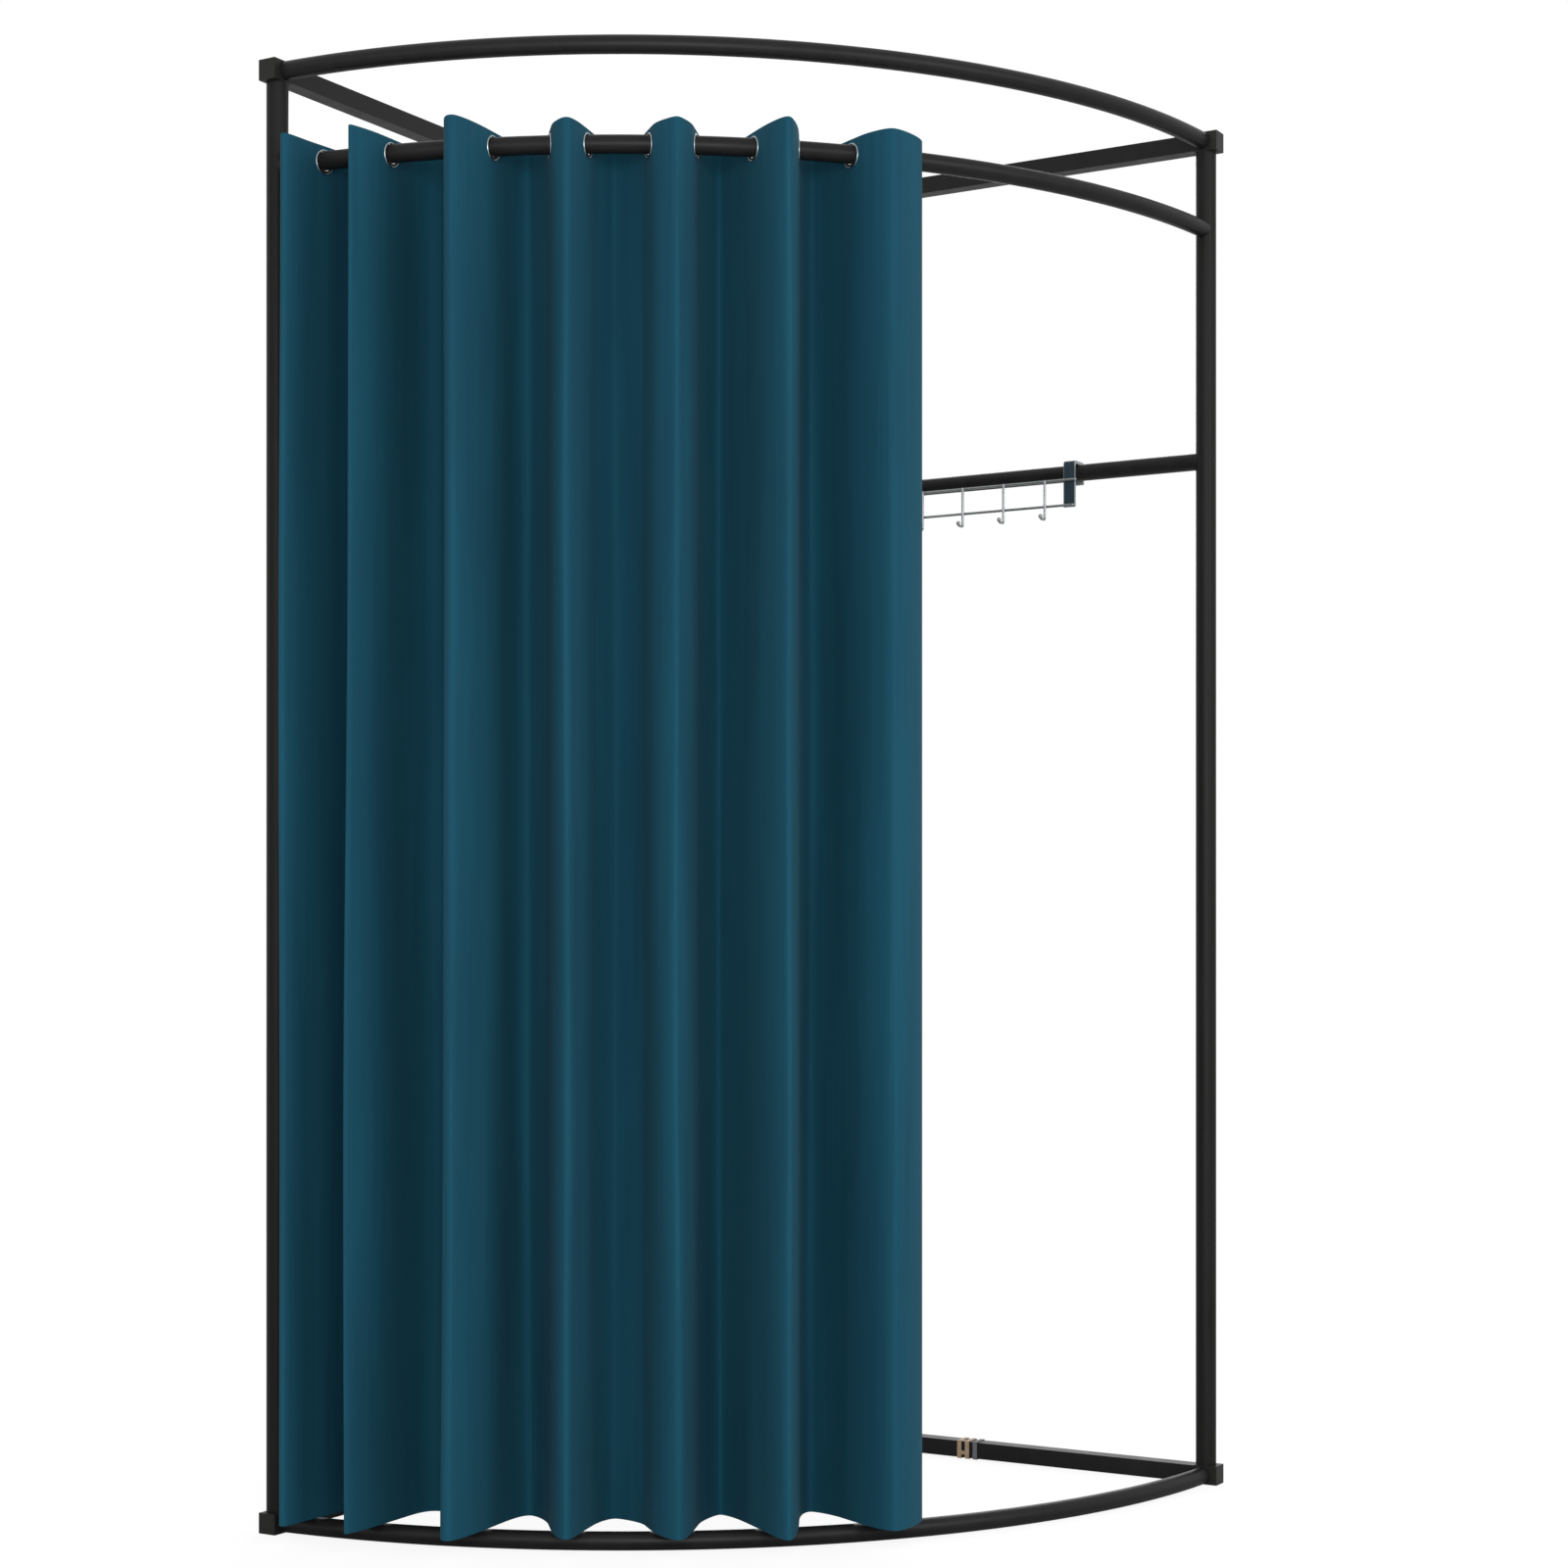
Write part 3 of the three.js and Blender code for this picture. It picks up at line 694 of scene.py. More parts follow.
@dataclass(frozen=True)
class Plan:
    """Where the frame's posts, tubes and heights are, in metres."""

    leg: float = 0.960
    height: float = 2.000
    front_bow: float = 0.263
    rail_bow: float = 0.256
    rail_drop: float = 0.143
    bar_drop: float = 0.485
    post_radius: float = 0.015
    post_wall: float = 0.0015
    tube_radius: float = 0.0125
    tube_wall: float = 0.0015
    block_side: float = 0.028
    bow_offset: float = 0.001
    fit_gap: float = 0.0003

    @property
    def half_chord(self) -> float:
        """Half the distance between the front posts' axes."""
        return self.leg / math.sqrt(2)

    @property
    def left(self) -> Vector:
        """Left front post's axis on the floor."""
        return Vector((-self.half_chord, -self.half_chord, 0.0))

    @property
    def right(self) -> Vector:
        """Right front post's axis on the floor."""
        return Vector((self.half_chord, -self.half_chord, 0.0))

    @property
    def back(self) -> Vector:
        """Back post's axis on the floor."""
        return Vector((0.0, 0.0, 0.0))

    @property
    def rail_height(self) -> float:
        """Height of the curtain rail's axis."""
        return self.height - self.rail_drop

    @property
    def bar_height(self) -> float:
        """Height of the hanging bar's axis."""
        return self.height - self.bar_drop

    @property
    def front(self) -> Bow:
        """The bow of the two front tubes."""
        return Bow(self.front_bow, self.half_chord)

    @property
    def rail(self) -> Bow:
        """The bow of the curtain rail."""
        return Bow(self.rail_bow, self.half_chord)

    @property
    def bar(self) -> Straight:
        """The hanging bar, from the right front post to the back post."""
        return Straight(self.right, self.back)


PLAN = Plan()


# Posts, tubes and screws


class TubeEnd(Protocol):
    """How a tube's end is cut."""

    def reach(self, along: Vector, across: Vector, offset: float) -> float:
        """Distance from the post's axis to the cut, for a line of the tube.

        Args:
            along: direction from the post into the tube.
            across: outward direction of the tube.
            offset: how far outwards the line lies from the tube's axis.

        Returns:
            The distance along the tube.
        """


@dataclass(frozen=True)
class CopedEnd:
    """Cut to fit round a post."""

    radius: float

    def reach(self, along: Vector, across: Vector, offset: float) -> float:
        """Distance from the post's axis to the cut."""
        return math.sqrt(self.radius**2 - offset**2)


@dataclass(frozen=True)
class FaceEnd:
    """Cut flat against a block's face."""

    distance: float
    normal: Vector

    def reach(self, along: Vector, across: Vector, offset: float) -> float:
        """Distance from the post's axis to the cut."""
        return (self.distance - offset * across.dot(self.normal)) / along.dot(self.normal)


@dataclass
class Tube:
    """A hollow round tube along a level axis, cut at both ends, with a threaded plug near some ends."""

    axis: Bow | Straight
    height: float
    ends: tuple[TubeEnd, TubeEnd]
    radius: float
    wall: float
    sides: int = 40
    steps: int = 110
    clear: float = 0.024
    plug_start: float = 0.029
    plug_length: float = 0.008
    plug_gap: float = 0.00002
    thread_radius: float = 0.0033

    def build(self, name: str, plugged: bool) -> bpy.types.Object:
        """Makes the tube.

        Args:
            name: the piece's name.
            plugged: whether threaded plugs sit in both ends.

        Returns:
            The tube's object.
        """
        skin = Skin()
        outer, inner = self._wall(skin, self.radius), self._wall(skin, self.radius - self.wall)
        for first, second in zip(outer, outer[1:]):
            skin.bridge(second, first)
        for first, second in zip(inner, inner[1:]):
            skin.bridge(first, second)
        skin.bridge(outer[0], inner[0])
        skin.bridge(inner[-1], outer[-1])
        if plugged:
            for start in (self.plug_start, self.axis.length - self.plug_start - self.plug_length):
                self._plug(skin, start)
        return skin.piece(name)

    def _wall(self, skin: Skin, radius: float) -> list[list[int]]:
        """Adds the rings of one wall surface, with the first and last on the cuts.

        Args:
            skin: the tube's mesh.
            radius: the surface's radius.

        Returns:
            The rings, from end to end.
        """
        rings = [skin.ring(self._cut(radius, Side.LEFT))]
        span = self.axis.length - 2 * self.clear
        for k in range(self.steps + 1):
            rings.append(skin.ring(self._circle(radius, self.clear + span * k / self.steps)))
        rings.append(skin.ring(self._cut(radius, Side.RIGHT)))
        return rings

    def _circle(self, radius: float, place: float) -> list[Vector]:
        """One ring of the tube at a length along its axis."""
        return [self._corner(radius, 2 * math.pi * k / self.sides, place) for k in range(self.sides)]

    def _corner(self, radius: float, angle: float, place: float) -> Vector:
        """One corner of the tube."""
        point = self.axis.point(place, radius * math.cos(angle))
        return point + Vector((0.0, 0.0, self.height + radius * math.sin(angle)))

    def _cut(self, radius: float, side: Side) -> list[Vector]:
        """The ring of corners on an end's cut.

        Args:
            radius: the surface's radius.
            side: which end.

        Returns:
            The corners.
        """
        end = self.ends[0 if side is Side.LEFT else 1]
        place = 0.0 if side is Side.LEFT else self.axis.length
        along = self.axis.along(place) * (-side.value)
        across = self.axis.across(place)
        points = []
        for k in range(self.sides):
            angle = 2 * math.pi * k / self.sides
            reach = end.reach(along, across, radius * math.cos(angle))
            points.append(self._corner(radius, angle, place - side.value * reach))
        return points

    def _plug(self, skin: Skin, start: float) -> None:
        """Adds a threaded plug: a short thick ring inside the tube.

        Args:
            skin: the tube's mesh.
            start: length along the axis where the plug begins.
        """
        faces = (start, start + self.plug_length)
        bore = [self._circle(self.thread_radius, place) for place in faces]
        rim = [self._circle(self.radius - self.wall - self.plug_gap, place) for place in faces]
        rings = [skin.ring(points) for points in (rim[0], rim[1], bore[1], bore[0])]
        for first, second in zip(rings, rings[1:] + rings[:1]):
            skin.bridge(second, first)


@dataclass
class FixingScrew:
    """A countersunk socket screw through a post into the tube's plug, drawn along the way into the tube."""

    head_radius: float = 0.0055
    head_length: float = 0.003
    shank_radius: float = 0.003
    socket_radius: float = 0.002
    socket_depth: float = 0.0018
    start: float = -0.0142
    tip: float = 0.0367
    rim: float = 0.0004
    gap: float = 0.0003
    overrun: float = 0.002
    sides: int = 36

    def build(self, name: str, origin: Vector, along: Vector) -> bpy.types.Object:
        """Makes the screw.

        Args:
            name: the piece's name.
            origin: point on the post's axis.
            along: direction into the tube.

        Returns:
            The screw's object.
        """
        floor = self.start + self.socket_depth
        profile = [
            (0.0, floor),
            (self.socket_radius, floor),
            (self.socket_radius, self.start + self.rim),
            (self.socket_radius + self.rim, self.start),
            (self.head_radius - self.rim, self.start),
            (self.head_radius, self.start + self.rim),
            (self.shank_radius, self.start + self.head_length),
            (self.shank_radius, self.tip - self.rim),
            (self.shank_radius - self.rim, self.tip),
            (0.0, self.tip),
        ]
        return lathe(profile, self.sides, turner(origin, along)).piece(name, TURNED_CREASE)

    def clearance(self, origin: Vector, along: Vector) -> bpy.types.Object:
        """Makes the body that the post's hole is cut with.

        Args:
            origin: point on the post's axis.
            along: direction into the tube.

        Returns:
            The body.
        """
        outside = self.start - self.overrun
        profile = [
            (0.0, outside),
            (self.head_radius + self.gap, outside),
            (self.head_radius + self.gap, self.start),
            (self.shank_radius + self.gap, self.start + self.head_length),
            (self.shank_radius + self.gap, self.tip),
            (0.0, self.tip),
        ]
        return lathe(profile, self.sides, turner(origin, along)).piece("hole_cutter", TURNED_CREASE)


def turner(origin: Vector, along: Vector) -> Turn:
    """Places lathe corners about a level axis.

    Args:
        origin: where the height is zero.
        along: the axis.

    Returns:
        A function of radius, height and angle that gives the corner.
    """
    side = Vector((0.0, 0.0, 1.0)).cross(along)

    def corner(radius: float, height: float, angle: float) -> Vector:
        """One corner of the turned piece."""
        spoke = side * math.sin(angle) + Vector((0.0, 0.0, math.cos(angle)))
        return origin + along * height + spoke * radius

    return corner


def carve(piece: bpy.types.Object, cutters: Sequence[bpy.types.Object]) -> None:
    """Cuts bodies out of a piece and deletes them.

    Args:
        piece: the piece to cut, changed in place.
        cutters: the bodies to take away.
    """
    for cutter in cutters:
        modifier = piece.modifiers.new("hole", "BOOLEAN")
        modifier.operation = "DIFFERENCE"
        modifier.solver = "EXACT"
        modifier.object = cutter
    bpy.context.view_layer.update()
    evaluated = piece.evaluated_get(bpy.context.evaluated_depsgraph_get())
    cut = bpy.data.meshes.new_from_object(evaluated)
    piece.modifiers.clear()
    old = piece.data
    piece.data = cut
    bpy.data.meshes.remove(old)
    cut.name = piece.name
    cut.shade_smooth()
    cut.set_sharp_from_angle(angle=math.radians(TURNED_CREASE))
    for cutter in cutters:
        bpy.data.objects.remove(cutter)


@dataclass
class TubeFrame:
    """Posts, bowed tubes, rail, bar and screws, with the beams and blocks that keep their solids."""

    plan: Plan
    shop: PaintShop
    screw: FixingScrew = field(default_factory=FixingScrew)
    post_sides: int = 48
    bar_steps: int = 4
    screw_reach: float = 0.02
    hole_margin: float = 0.016
    beam_edge: float = 0.0018
    block_edge: float = 0.0014

    def build(self) -> None:
        """Builds every piece of the frame and puts it on the frame's body."""
        joints = self._joints()
        for name, foot in self._posts().items():
            holes = [joint for joint in joints.values() if (joint[0].xy - foot.xy).length < SAME_PLACE]
            self._finish(self._post(name, foot, holes), SHADED_POST_COAT, name)
        for name, (origin, along) in joints.items():
            self._finish(self.screw.build(f"{name}_fine", origin, along), SCREW_COAT, name)
        self._finish(self._front_tube("lower_front_tube", -1), FRAME_COAT, "lower_front_tube")
        self._finish(self._front_tube("upper_front_tube", 1), FRAME_COAT, "upper_front_tube")
        rail = self._coped("curtain_rail", self.plan.rail, self.plan.rail_height)
        self._finish(rail, FRAME_COAT, "curtain_rail")
        bar = self._coped("hanging_bar", self.plan.bar, self.plan.bar_height, self.bar_steps)
        self._finish(bar, FRAME_COAT, "hanging_bar")
        for level in ("lower", "upper"):
            for side in ("left", "right"):
                self._keep(f"{level}_{side}_beam", FRAME_COAT, self.beam_edge)
            for corner in ("left", "right", "back"):
                self._keep(f"{level}_{corner}_block", BLOCK_COAT, self.block_edge)

    def _posts(self) -> dict[str, Vector]:
        """Names and places of the posts.

        Returns:
            Each post's axis on the floor by its name.
        """
        return {
            "left_front_post": self.plan.left,
            "right_front_post": self.plan.right,
            "back_post": self.plan.back,
        }

    def _joints(self) -> dict[str, tuple[Vector, Vector]]:
        """Each screw's point on its post's axis and its way into the tube.

        Returns:
            The point and the way by the screw's name.
        """
        rail, bar = self.plan.rail, self.plan.bar
        rail_up = Vector((0.0, 0.0, self.plan.rail_height))
        bar_up = Vector((0.0, 0.0, self.plan.bar_height))
        return {
            "left_rail_screw": (self.plan.left + rail_up, rail.along(self.screw_reach)),
            "right_rail_screw": (self.plan.right + rail_up, -rail.along(rail.length - self.screw_reach)),
            "right_bar_screw": (self.plan.right + bar_up, bar.along(0.0)),
            "back_bar_screw": (self.plan.back + bar_up, -bar.along(0.0)),
        }

    def _post(self, name: str, foot: Vector, holes: Sequence[tuple[Vector, Vector]]) -> bpy.types.Object:
        """Makes one post and cuts its countersunk holes.

        Args:
            name: the post's name.
            foot: its axis on the floor.
            holes: each screw's point on the axis and its way.

        Returns:
            The post.
        """
        bottom = self.plan.block_side + self.plan.fit_gap
        heights = {bottom, self.plan.height - bottom}
        for origin, _ in holes:
            heights |= {origin.z - self.hole_margin, origin.z + self.hole_margin}
        levels = sorted(heights)
        outer = self.plan.post_radius
        inner = outer - self.plan.post_wall
        profile = [(outer, z) for z in levels] + [(inner, z) for z in reversed(levels)]

        def corner(radius: float, height: float, angle: float) -> Vector:
            """One corner of the post."""
            return foot + Vector((radius * math.cos(angle), radius * math.sin(angle), height))

        post = lathe(profile, self.post_sides, corner).piece(f"{name}_fine", TURNED_CREASE)
        carve(post, [self.screw.clearance(origin, along) for origin, along in holes])
        return post

    def _front_tube(self, name: str, level: int) -> bpy.types.Object:
        """Makes one bowed front tube, cut flat against its two blocks.

        Args:
            name: the tube's name.
            level: -1 for the floor frame and 1 for the head frame.

        Returns:
            The tube.
        """
        plan = self.plan
        middle = plan.block_side / 2
        height = (plan.height - middle if level > 0 else middle) + level * plan.bow_offset
        reach = middle + plan.fit_gap
        slope = math.sqrt(0.5)
        ends = (
            FaceEnd(reach, Vector((slope, -slope, 0.0))),
            FaceEnd(reach, Vector((-slope, -slope, 0.0))),
        )
        tube = Tube(plan.front, height, ends, plan.tube_radius, plan.tube_wall)
        return tube.build(f"{name}_fine", False)

    def _coped(
        self, name: str, axis: Bow | Straight, height: float, steps: int = Tube.steps
    ) -> bpy.types.Object:
        """Makes a tube that butts on two posts.

        Args:
            name: the tube's name.
            axis: its axis in the plan.
            height: its axis's height.
            steps: rings along it.

        Returns:
            The tube.
        """
        end = CopedEnd(self.plan.post_radius + self.plan.fit_gap)
        tube = Tube(axis, height, (end, end), self.plan.tube_radius, self.plan.tube_wall, steps=steps)
        return tube.build(f"{name}_fine", True)

    def _finish(self, piece: bpy.types.Object, finish: Finish, node: str) -> None:
        """Coats a piece, lets it stand for its solid and fixes it to the frame.

        Args:
            piece: the object.
            finish: its finish.
            node: the solid's name.
        """
        self.shop.coat(piece, finish)
        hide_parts(node)
        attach(piece, Body.FRAME.value)
        LOG.info("%s built", piece.name)

    def _keep(self, node: str, finish: Finish, edge: float) -> None:
        """Gives a solid softened edges and its finish.

        Args:
            node: the solid's name.
            finish: its finish.
            edge: width of the rounding.
        """
        piece = FRAME["nodes"][node]
        soften(piece, edge)
        self.shop.coat(piece, finish)
        LOG.info("%s finished", node)


def soften(piece: bpy.types.Object, width: float, angle: float = 44.0) -> None:
    """Rounds a solid's sharp edges with a modifier.

    Args:
        piece: the object.
        width: width of the rounding, in metres.
        angle: only edges sharper than this angle, in degrees, are rounded.
    """
    bevel = piece.modifiers.new("soft_edges", "BEVEL")
    bevel.width = width
    bevel.segments = 3
    bevel.limit_method = "ANGLE"
    bevel.angle_limit = math.radians(angle)
    bevel.harden_normals = True


# Curtain


@dataclass(frozen=True)
class FoldShape:
    """One bulge of cloth on one side of the rail: where it is and how it hangs.

    The tip stands off the fold's middle by a length along the rail. Tilts, pulls and roundings are
    those of the left and the right flank: a pull is how far up the fold the flank keeps its tilt, and a
    rounding how full the tip is. The growth is the share by which the fold is shallower than its depth
    at the rail and deeper at the hem.
    """

    place: float
    width: float
    depth: float
    tip: float
    tilts: tuple[float, float]
    pulls: tuple[float, float]
    roundings: tuple[float, float]
    growth: float
    sway: float
    phase: float


@dataclass(frozen=True)
class Cloth:
    """Sizes of the curtain's cloth and of its crossings with the rail."""

    top: float = 1.877
    hem: float = 0.028
    thickness: float = 0.001
    crossing_half: float = 0.0201
    edge_hem: float = 0.016
    eyelet_height: float = 1.8552
    hole_radius: float = 0.0156
    seam_gap: float = 0.00002


class FoldPath:
    """The cloth's line in the plan, by the length of cloth from its left edge.

    A front fold crosses the rail in a straight run at each side, with its bulge between them. A back
    fold is a bulge only. The bulge is two cubic flanks that meet at its tip. Lengths u run along the
    rail from the fold's middle, and v outwards.
    """

    SAMPLES = 120

    def __init__(self, shape: FoldShape, cloth: Cloth, side: int, tails: tuple[float, float]) -> None:
        """Lays out the path.

        Args:
            shape: the fold.
            cloth: the cloth's sizes.
            side: 1 for a front fold and -1 for a back fold.
            tails: length of straight cloth before the left crossing's middle and after the right
                one's, or zeros for a back fold.
        """
        self.shape = shape
        self.cloth = cloth
        self.side = side
        self.tails = tails
        self.flanks = (self._flank(Side.LEFT), self._flank(Side.RIGHT)[::-1])
        self.before = tails[0] + cloth.crossing_half if tails[0] else 0.0
        self.after = tails[1] + cloth.crossing_half if tails[1] else 0.0
        self.table = [0.0]
        last = self._curve(0.0)
        for k in range(1, 2 * self.SAMPLES + 1):
            point = self._curve(k / self.SAMPLES)
            self.table.append(self.table[-1] + math.dist(last, point))
            last = point
        self.bulge = self.table[-1]
        self.length = self.before + self.bulge + self.after

    def _lean(self, side: Side) -> tuple[float, float]:
        """Direction of the cloth at one crossing, towards the bulge."""
        tilt = self.shape.tilts[0 if side is Side.LEFT else 1]
        return -side.value * math.sin(tilt), self.side * math.cos(tilt)

    def _flank(self, side: Side) -> list[tuple[float, float]]:
        """The four control points of one flank, from its crossing to the tip.

        Args:
            side: which flank.

        Returns:
            The points' u and v.
        """
        shape, reach = self.shape, self.cloth.crossing_half
        lean = self._lean(side)
        start = (side.value * shape.width / 2 + lean[0] * reach, lean[1] * reach)
        tip = (shape.tip, self.side * shape.depth)
        flank = 0 if side is Side.LEFT else 1
        pull = shape.pulls[flank] * (tip[1] - start[1]) / lean[1]
        rounding = shape.roundings[flank]
        ease = tip[0] - rounding * (tip[0] - start[0])
        return [start, (start[0] + lean[0] * pull, start[1] + lean[1] * pull), (ease, tip[1]), tip]

    def _curve(self, t: float) -> tuple[float, float]:
        """A point of the bulge.

        Args:
            t: the place, from 0 at the left end over 1 at the tip to 2 at the right end.

        Returns:
            The point's u and v.
        """
        controls = self.flanks[0 if t <= 1 else 1]
        t = t if t <= 1 else t - 1
        s = 1 - t
        weights = (s**3, 3 * s * s * t, 3 * s * t * t, t**3)
        return (
            sum(w * c[0] for w, c in zip(weights, controls)),
            sum(w * c[1] for w, c in zip(weights, controls)),
        )

    def _share(self, length: float) -> float:
        """Curve parameter at a length along the bulge.

        Args:
            length: length of cloth from the bulge's left end.

        Returns:
            The place on the curve, from 0 to 2.
        """
        clamped = min(max(length, 0.0), self.bulge)
        k = min(bisect_right(self.table, clamped) - 1, len(self.table) - 2)
        step = self.table[k + 1] - self.table[k]
        return (k + (clamped - self.table[k]) / step) / self.SAMPLES

    def at(self, length: float) -> tuple[float, float, float]:
        """A place on the cloth.

        Args:
            length: length of cloth from the left edge.

        Returns:
            u, v, and how freely the cloth hangs there, from 0 at the crossings to 1 at the bulge's tip.
        """
        inside = length - self.before
        if inside < 0:
            (u, v), run, side = self.flanks[0][0], -inside, Side.LEFT
        elif inside > self.bulge:
            (u, v), run, side = self.flanks[1][-1], inside - self.bulge, Side.RIGHT
        else:
            u, v = self._curve(self._share(inside))
            low, tip = self.flanks[0][0][1], self.side * self.shape.depth
            share = min(max((v - low) / (tip - low), 0.0), 1.0)
            return u, v, share * share * (3 - 2 * share)
        lean = self._lean(side)
        return u - lean[0] * run, v - lean[1] * run, 0.0

    def crossing(self, side: Side) -> float:
        """Length of cloth from the left edge to the crossing at one side."""
        half = self.cloth.crossing_half
        return self.tails[0] if side is Side.LEFT else self.before + self.bulge + half


@dataclass
class ClothPanel:
    """One panel of the curtain as a thin closed piece with round holes for its eyelets."""

    path: FoldPath
    cloth: Cloth
    rail: Bow
    cells: int
    rows: int = 46
    hole_cells: int = 8
    tail_cells: int = 3
    hole_margin: float = 0.002
    flat_start: float = 0.0
    wave_rates: tuple[float, float, float] = (2.4, 5.7, 4.1)
    wave_shares: tuple[float, float] = (0.45, 0.4)
    wave_shift: float = 2.3
    ease_rate: float = 2.5
    normal_step: float = 0.0004
    crease: float = 180.0

    def build(self, name: str, holes: Sequence[float]) -> bpy.types.Object:
        """Makes the panel.

        Args:
            name: the piece's name.
            holes: lengths of cloth from the left edge to each hole's middle.

        Returns:
            The panel's object, with its flat size as its texture coordinates.
        """
        spots, quads = self._pattern(holes)
        points = [self._surface(*spot) for spot in spots]
        normals = [self._normal(*spot) for spot in spots]
        half = self.cloth.thickness / 2
        count = len(spots)
        skin = Skin()
        skin.ring(p + n * half for p, n in zip(points, normals))
        skin.ring(p - n * half for p, n in zip(points, normals))
        sided = [(quad, 1) for quad in quads]
        sided += [(tuple(count + k for k in reversed(quad)), -1) for quad in quads]
        sided += [((b, a, count + a, count + b), 0) for a, b in self._rim(quads)]
        skin.faces = [quad for quad, _ in sided]
        piece = skin.piece(name, self.crease)
        self._shade(piece.data, normals, [side for _, side in sided], spots)
        return piece

    def _pattern(self, holes: Sequence[float]) -> tuple[list[tuple[float, float]], list[Face]]:
        """Lays out corners as length and height, and quads between them.

        Args:
            holes: lengths of cloth to the holes' middles.

        Returns:
            The corners and the quads.
        """
        columns, blocks = self._columns(holes)
        levels, first_row = self._levels()
        spots: list[tuple[float, float]] = []
        numbers: dict[tuple[int, int], int] = {}
        cells = self.hole_cells

        def inside(i: int, j: int) -> bool:
            """Whether a grid corner lies inside a hole's block."""
            return any(b < i < b + cells and first_row < j < first_row + cells for b in blocks)

        def covered(i: int, j: int) -> bool:
            """Whether a grid cell belongs to a hole's block."""
            return any(b <= i < b + cells and first_row <= j < first_row + cells for b in blocks)

        for i, length in enumerate(columns):
            for j, height in enumerate(levels):
                if not inside(i, j):
                    numbers[i, j] = len(spots)
                    spots.append((length, height))
        quads = [
            (numbers[i, j], numbers[i + 1, j], numbers[i + 1, j + 1], numbers[i, j + 1])
            for i in range(len(columns) - 1)
            for j in range(len(levels) - 1)
            if not covered(i, j)
        ]
        for block, middle in zip(blocks, holes):
            border = self._border(block, first_row)
            self._ring_in(spots, quads, [numbers[spot] for spot in border], middle)
        return spots, quads

    def _columns(self, holes: Sequence[float]) -> tuple[list[float], list[int]]:
        """Lengths of the grid's columns, and the first column of each hole's block.

        Args:
            holes: lengths of cloth to the holes' middles.

        Returns:
            The lengths and the column numbers.
        """
        half = self.cloth.crossing_half
        cells = self.hole_cells
        if not holes:
            return [self.path.length * k / self.cells for k in range(self.cells + 1)], []
        columns: list[float] = []
        blocks: list[int] = []
        edges = [0.0]
        for middle in holes:
            edges += [middle - half, middle + half]
        edges.append(self.path.length)
        for number, (start, end) in enumerate(zip(edges, edges[1:])):
            if number % 2:
                blocks.append(len(columns))
                steps = cells
            elif end - start < NO_LENGTH:
                continue
            else:
                steps = self.cells if number == 2 else self.tail_cells
            columns += [start + (end - start) * k / steps for k in range(steps)]
        if self.path.length - edges[-2] < NO_LENGTH:
            columns.append(edges[-2])
        else:
            columns.append(self.path.length)
        return columns, blocks

    def _levels(self) -> tuple[list[float], int]:
        """Heights of the grid's rows, and the first row of the holes' blocks.

        Returns:
            The heights and the row's number.
        """
        cloth = self.cloth
        low = cloth.eyelet_height - cloth.crossing_half
        body = [cloth.hem + (low - cloth.hem) * k / self.rows for k in range(self.rows)]
        side = 2 * cloth.crossing_half
        block = [low + side * k / self.hole_cells for k in range(self.hole_cells + 1)]
        return body + block + [cloth.top], len(body)

    def _border(self, column: int, row: int) -> list[tuple[int, int]]:
        """Grid corners round a block, anticlockwise from its low left one.

        Args:
            column: the block's first column.
            row: the block's first row.

        Returns:
            Column and row of each corner.
        """
        n = self.hole_cells
        return (
            [(column + k, row) for k in range(n)]
            + [(column + n, row + k) for k in range(n)]
            + [(column + n - k, row + n) for k in range(n)]
            + [(column, row + n - k) for k in range(n)]
        )

    def _ring_in(
        self, spots: list[tuple[float, float]], quads: list[Face], border: Sequence[int], middle: float
    ) -> None:
        """Fills a block between its border and the round hole.

        Args:
            spots: all corners so far, which grow.
            quads: all quads so far, which grow.
            border: numbers of the corners round the block.
            middle: length of cloth to the hole.
        """
        height = self.cloth.eyelet_height
        angles = [math.atan2(spots[k][1] - height, spots[k][0] - middle) for k in border]
        outer = list(border)
        for radius in (self.cloth.hole_radius + self.hole_margin, self.cloth.hole_radius):
            first = len(spots)
            spots.extend((middle + radius * math.cos(a), height + radius * math.sin(a)) for a in angles)
            inner = list(range(first, len(spots)))
            count = len(inner)
            for k in range(count):
                after = (k + 1) % count
                quads.append((outer[k], outer[after], inner[after], inner[k]))
            outer = inner

    @staticmethod
    def _rim(quads: Sequence[Face]) -> list[tuple[int, int]]:
        """Edges that only one quad uses, in that quad's direction."""
        used = {(quad[k], quad[(k + 1) % 4]) for quad in quads for k in range(4)}
        return [(a, b) for a, b in used if (b, a) not in used]

    def _surface(self, length: float, height: float) -> Vector:
        """The middle of the cloth's thickness at a length and a height.

        Args:
            length: length of cloth from the panel's left edge.
            height: height above the floor.

        Returns:
            The point.
        """
        u, v, free = self.path.at(length)
        shape, cloth = self.path.shape, self.cloth
        low = min(max((cloth.eyelet_height - height) / (cloth.eyelet_height - cloth.hem), 0.0), 1.0)
        ease = math.sin(math.pi / 2 * min(low * self.ease_rate, 1.0))
        slow, quick, deep = self.wave_rates
        quick_share, deep_share = self.wave_shares
        wander = math.sin(slow * height + shape.phase)
        wander += quick_share * math.sin(quick * height + self.wave_shift * shape.phase)
        u += free * ease * shape.sway * wander
        v += self.path.side * free * shape.growth * shape.depth * (2 * low - 1)
        v += deep_share * free * ease * shape.sway * math.cos(deep * height + shape.phase)
        point = self.rail.point(shape.place + u, v)
        return Vector((point.x, point.y, height))

